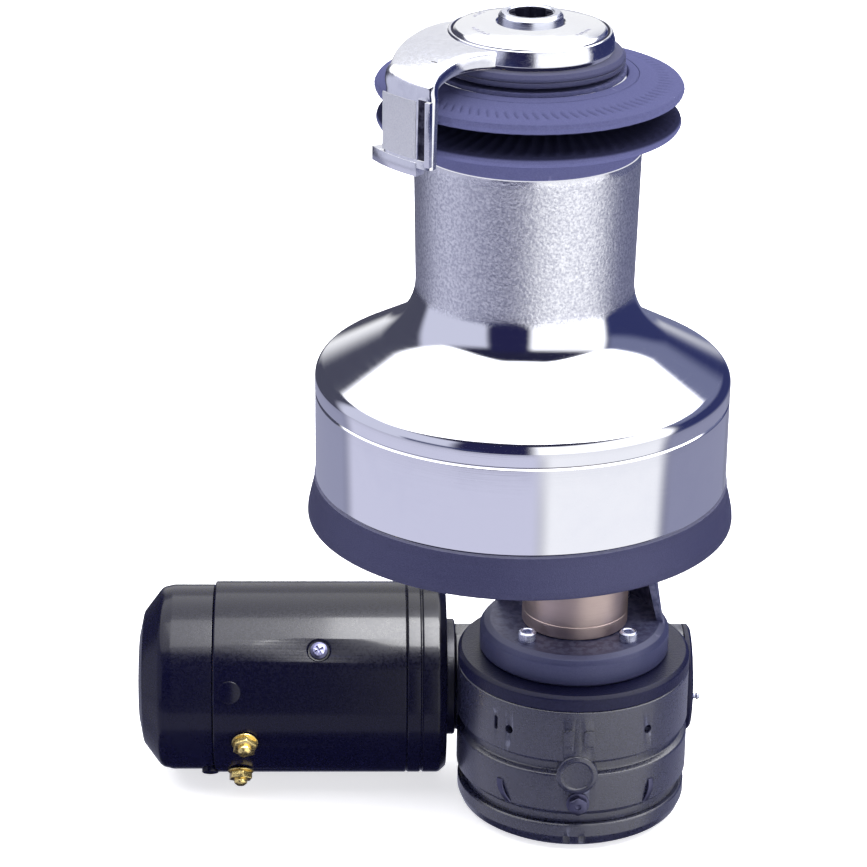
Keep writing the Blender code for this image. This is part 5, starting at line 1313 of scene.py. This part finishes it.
def makeMotor(size):
    wide, inside = size["radius"], size["radius"] - size["wall"]
    low, high = caseLow.x, caseHigh.x
    case = lathe("motor_shell", rounded([
        (inside, low), (wide - 0.6 * mm, low), (wide, low + 0.8 * mm, 0.5 * mm),
        (wide, high - 0.8 * mm, 0.5 * mm), (wide - 0.6 * mm, high), (inside, high)]), motorPaint,
        sides=size["sides"], along="X")
    recess = turnedSmall("recess", [(0, -1.6), (6.6, -1.6, 0.5), (8.2, 0.6), (8.2, 4), (0, 4)], None, 56)
    recesses = [onMotor(recess, *size["poleScrew"])]
    for spot in size["terminals"]:
        way = slab("way", circle(3.6 * mm, 40), -14 * mm, 12 * mm, None)
        recesses.append(onMotor(way, *spot))
    combined(case, recesses)
    softened(case, 0.3 * mm, 2, angle=45)
    settle(case, "winch_body", "black_paint", "motor_case")

    start, front = frontLow.x, frontHigh.x
    groove = start + 9 * mm
    cap = lathe("motor_front", rounded([
        (19 * mm, start), (wide - 0.6 * mm, start), (wide, start + 0.8 * mm, 0.5 * mm),
        (wide, groove - 1.1 * mm, 0.5 * mm), (wide - 1.2 * mm, groove, 0.6 * mm),
        (wide, groove + 1.1 * mm, 0.5 * mm), (wide, front - 4.6 * mm, 3.5 * mm),
        (wide - 4 * mm, front, 2.5 * mm), (19 * mm, front)], steps=6), motorPaint,
        sides=size["sides"], along="X")
    settle(cap, "winch_body", "black_paint", "motor_front_cap")

    seam, back = rearHigh.x, rearLow.x
    edge = size["rearRadius"]
    rear = lathe("motor_rear", rounded([
        (0, back), (28 * mm, back, 2 * mm), (41 * mm, back + 2.7 * mm, 6 * mm),
        (edge - 1.6 * mm, back + 14 * mm, 7 * mm), (edge, back + 21 * mm, 5 * mm),
        (edge, seam - 0.7 * mm, 0.4 * mm), (edge - 0.6 * mm, seam), (edge - 4 * mm, seam),
        (edge - 4 * mm, back + 22 * mm), (19 * mm, back + 12 * mm), (19 * mm, back + 5 * mm),
        (0, back + 5 * mm)], closed=False, steps=7), motorPaint, sides=size["sides"], along="X")
    settle(rear, "winch_body", "black_paint", "motor_rear_cap")

    ring = lathe("adapter_ring", rounded([
        (18 * mm, adapterLow.x), (36 * mm, adapterLow.x, 0.4 * mm),
        (36 * mm, adapterHigh.x - 0.8 * mm, 0.5 * mm), (35 * mm, adapterHigh.x), (18 * mm, adapterHigh.x)]),
        gearboxPaint, sides=112, along="X")
    settle(ring, "winch_body", "black_casting", "motor_adapter")


def makeTerminals(size):
    for i, spot in enumerate(size["terminals"]):
        stud = turnedSmall("stud", [
            (0, -11), (3, -11), (3, 6), (4.1, 6.2, 0.4), (4.1, 8.6, 1.6), (2.2, 10.2, 1.2), (0, 10.4)],
            studBrass, 48)
        washer = lathe("washer", rounded([
            (3 * mm, 0.5 * mm), (8.0 * mm, 0.5 * mm, 0.3 * mm), (8.0 * mm, 1.6 * mm, 0.3 * mm),
            (3 * mm, 1.6 * mm)]), studBrass, sides=64)
        nut = slab("nut", circle(7.5 * mm, 6, phase=0.35 + i), 1.6 * mm, 6.3 * mm, studBrass,
                   holes=[circle(3.0 * mm, 32)], bevel=0.5 * mm)
        piece = onMotor(gathered(f"stud_{i + 1}", [stud, washer, nut]), *spot)
        settle(piece, "winch_body", "brass", f"terminal_{i + 1}")


def makeMotorDetails(size):
    head = turnedSmall("pole_screw", [(0, -1.5), (5.4, -1.5), (5.4, -0.6, 0.5), (3.6, 0.4, 1.2), (0, 0.6)],
                       darkSteel, 56)
    cross = [slab("cross", lozenge(*flat, 0.3 * mm), -0.9 * mm, 3 * mm, None)
             for flat in ((6.2 * mm, 1.3 * mm), (1.3 * mm, 6.2 * mm))]
    combined(head, cross)
    onMotor(head, *size["poleScrew"], spin=0.5)
    settle(head, "winch_body", "steel")
    plug = turnedSmall("case_plug", [(0, -1), (7, -1), (7, 0.2, 0.3), (6, 0.5), (0, 0.5)], motorPaint, 56)
    bolt = turnedSmall("case_bolt", [
        (0, -1), (5.2, -1), (5.2, 3.2, 1.2), (2.6, 3.8, 0.3), (2.2, 2.2), (0, 2.2)], motorPaint, 56)
    piece = gathered("case_details", [onMotor(plug, -175.1 * mm, 16.9, sink=0.1 * mm),
                                      onMotor(bolt, -188.0 * mm, -53.0, sink=2.0 * mm)])
    settle(piece, "winch_body", "black_paint")


makeMotor(motor)
makeTerminals(motor)
makeMotorDetails(motor)
print("motor made")


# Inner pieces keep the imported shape. These take a finish of their own, the rest are gear steel
finishes = {
    jawCoat: ("spring_retainer",),
    gearBronze: ("worm_wheel", "spindle_bearing"),
    springSteel: ("pawl_spring_1", "pawl_spring_2"),
    coilCopper: ("commutator", "field_poles"),
    brushCarbon: ("brush_1", "brush_2"),
    shaftSteel: ("worm_shaft", "motor_shaft"),
}


def dressInside(table):
    chosen = {name: finish for finish, names in table.items() for name in names}
    for name, node in nodes.items():
        for i in range(len(node.data.materials)):
            node.data.materials[i] = chosen.get(name, gearSteel)
        shadeEdges(node.data, 30)


dressInside(finishes)
print("inside dressed")


# Floor and light
floor = dict(radius=6.0, height=bottomLow.z - 0.2 * mm, colour=(0.90, 0.90, 0.92), glow=0.72)
# a box is its centre, its two sides and its power
light = dict(overhead=3.4, back=(0.985, 0.985, 0.99),
             boxes=(((0.26, -0.15, 0.90), (0.74, 0.74), 44.0), ((-0.05, -0.15, 0.94), (1.30, 0.74), 13.0)))


def makeFloor(size):
    material, tree, shader = newMaterial("floor_paper", size["colour"], 0.0, 0.9, specular=0.1)
    grain = effect(tree, castGrain, Scale=220.0, Pits=0.2)
    soft = effect(tree, patches, Scale=0.8, Low=0.3, High=0.8)
    mix = blended(tree, partly(tree, grain, 0.3), size["colour"], (0.88, 0.88, 0.90))
    tone = blended(tree, partly(tree, soft, 0.2), mix, (0.93, 0.93, 0.94))
    tree.links.new(tone, shader.inputs["Base Color"])
    tree.links.new(tone, shader.inputs["Emission Color"])
    shader.inputs["Emission Strength"].default_value = size["glow"]
    paper = slab("floor", circle(size["radius"], 96), size["height"] - 0.01, size["height"], material)
    paper.visible_glossy = False


def ranged(tree, value, low, high, soft):
    rise = spread(tree, value, low - soft, low + soft)
    fall = spread(tree, value, high - soft, high + soft, 1.0, 0.0)
    return calc(tree, "MULTIPLY", rise, fall)


# a studio round the piece: white cards and dark flags, by direction as seen from the camera
cards = [
    # azimuth low, high, elevation low, high, softness, colour, strength
    (-190, -108, -20, 34, 7, (0.42, 0.43, 0.62), 0.18),
    (-118, -38, -20, 34, 6, (0.72, 0.73, 0.86), 0.95),
    (-38, 4, -20, 40, 5, (0.02, 0.02, 0.07), 1.0),
    (4, 86, -20, 36, 5, (1.0, 1.0, 1.0), 1.5),
    (88, 190, -20, 36, 7, (0.34, 0.37, 0.60), 0.55),
    (88, 160, -17, 16, 5, (0.035, 0.042, 0.13), 1.0),
    (-69, -24, -17, -8, 4, (0.04, 0.05, 0.13), 1.0),
    (163, 200, -4, 60, 6, (1.0, 1.0, 1.0), 0.98),
    (-200, -163, -4, 60, 6, (1.0, 1.0, 1.0), 0.98),
    (-190, -114, -44, -20, 8, (0.42, 0.43, 0.58), 0.8),
    (-114, 9, -44, -20, 6, (0.68, 0.68, 0.82), 1.0),
    (9, 83, -44, -20, 6, (1.0, 1.0, 1.0), 1.05),
    (83, 157, -44, -20, 7, (0.38, 0.39, 0.54), 0.8),
    (157, 190, -44, -20, 8, (0.42, 0.43, 0.56), 0.8),
]


def makeWorld(size):
    world = bpy.data.worlds.new("studio")
    scene.world = world
    world.use_nodes = True
    tree = world.node_tree
    tree.nodes.clear()
    result = addNode(tree, "ShaderNodeOutputWorld")
    spot = addNode(tree, "ShaderNodeTexCoord").outputs["Generated"]
    apart = addNode(tree, "ShaderNodeSeparateXYZ")
    tree.links.new(spot, apart.inputs[0])
    across, along, up = apart.outputs
    azimuth = calc(tree, "MULTIPLY", calc(tree, "ARCTAN2", across, calc(tree, "MULTIPLY", along, -1.0)),
                   180 / math.pi)
    elevation = calc(tree, "MULTIPLY", calc(tree, "ARCSINE", up), 180 / math.pi)
    total = (0.02, 0.02, 0.05)
    for low, high, below, above, soft, colour, strength in cards:
        mask = calc(tree, "MULTIPLY", ranged(tree, azimuth, low, high, soft),
                    ranged(tree, elevation, below, above, 5 if above > -20 else 2))
        total = blended(tree, mask, total, tuple(v * strength for v in colour))
    # the overhead box comes lower at the sides and behind than over the camera
    facing = spread(tree, calc(tree, "ABSOLUTE", azimuth), 20.0, 95.0, 56.0, 33.0)
    box = spread(tree, calc(tree, "SUBTRACT", elevation, facing), -3.0, 3.0)
    stronger = spread(tree, across, -0.4, 0.5, size["overhead"] * 0.75, size["overhead"] * 1.25)
    bright = addNode(tree, "ShaderNodeVectorMath", operation="SCALE")
    bright.inputs[0].default_value = (1.0, 1.0, 1.0)
    tree.links.new(stronger, bright.inputs["Scale"])
    total = blended(tree, box, total, bright.outputs[0])
    seen = addNode(tree, "ShaderNodeLightPath").outputs["Is Camera Ray"]
    shown = addNode(tree, "ShaderNodeBackground")
    tree.links.new(blended(tree, seen, total, size["back"]), shown.inputs["Color"])
    tree.links.new(shown.outputs[0], result.inputs["Surface"])
    world.cycles.sampling_method = "NONE"


# boxes over the winch that only give the motor its highlight
def makeBoxes(size):
    lit = bpy.data.collections.new("motor_highlight")
    starts = ("motor_", "case_", "adapter", "pole_screw", "stud_")
    for piece in list(scene.objects):
        if piece.name.startswith(starts) and piece.name not in nodes:
            lit.objects.link(piece)
    for centre, sides, power in size["boxes"]:
        data = bpy.data.lights.new("highlight_box", "AREA")
        data.shape = "RECTANGLE"
        data.size, data.size_y = sides
        data.energy = power
        lamp = bpy.data.objects.new("highlight_box", data)
        scene.collection.objects.link(lamp)
        lamp.location = centre
        lamp.visible_camera = False
        lamp.visible_diffuse = False
        lamp.light_linking.receiver_collection = lit


makeFloor(floor)
makeWorld(light)
makeBoxes(light)
scene.view_settings.view_transform = "Standard"
scene.view_settings.look = "None"
print("floor and light in place")


# pieces above a height mirror the studio and not each other
def keepMirrorsClean(height):
    for piece in scene.objects:
        if piece.type == "MESH" and min((v.co.z for v in piece.data.vertices), default=0) > height:
            piece.visible_glossy = False
            piece.visible_shadow = False


keepMirrorsClean(-1 * mm)
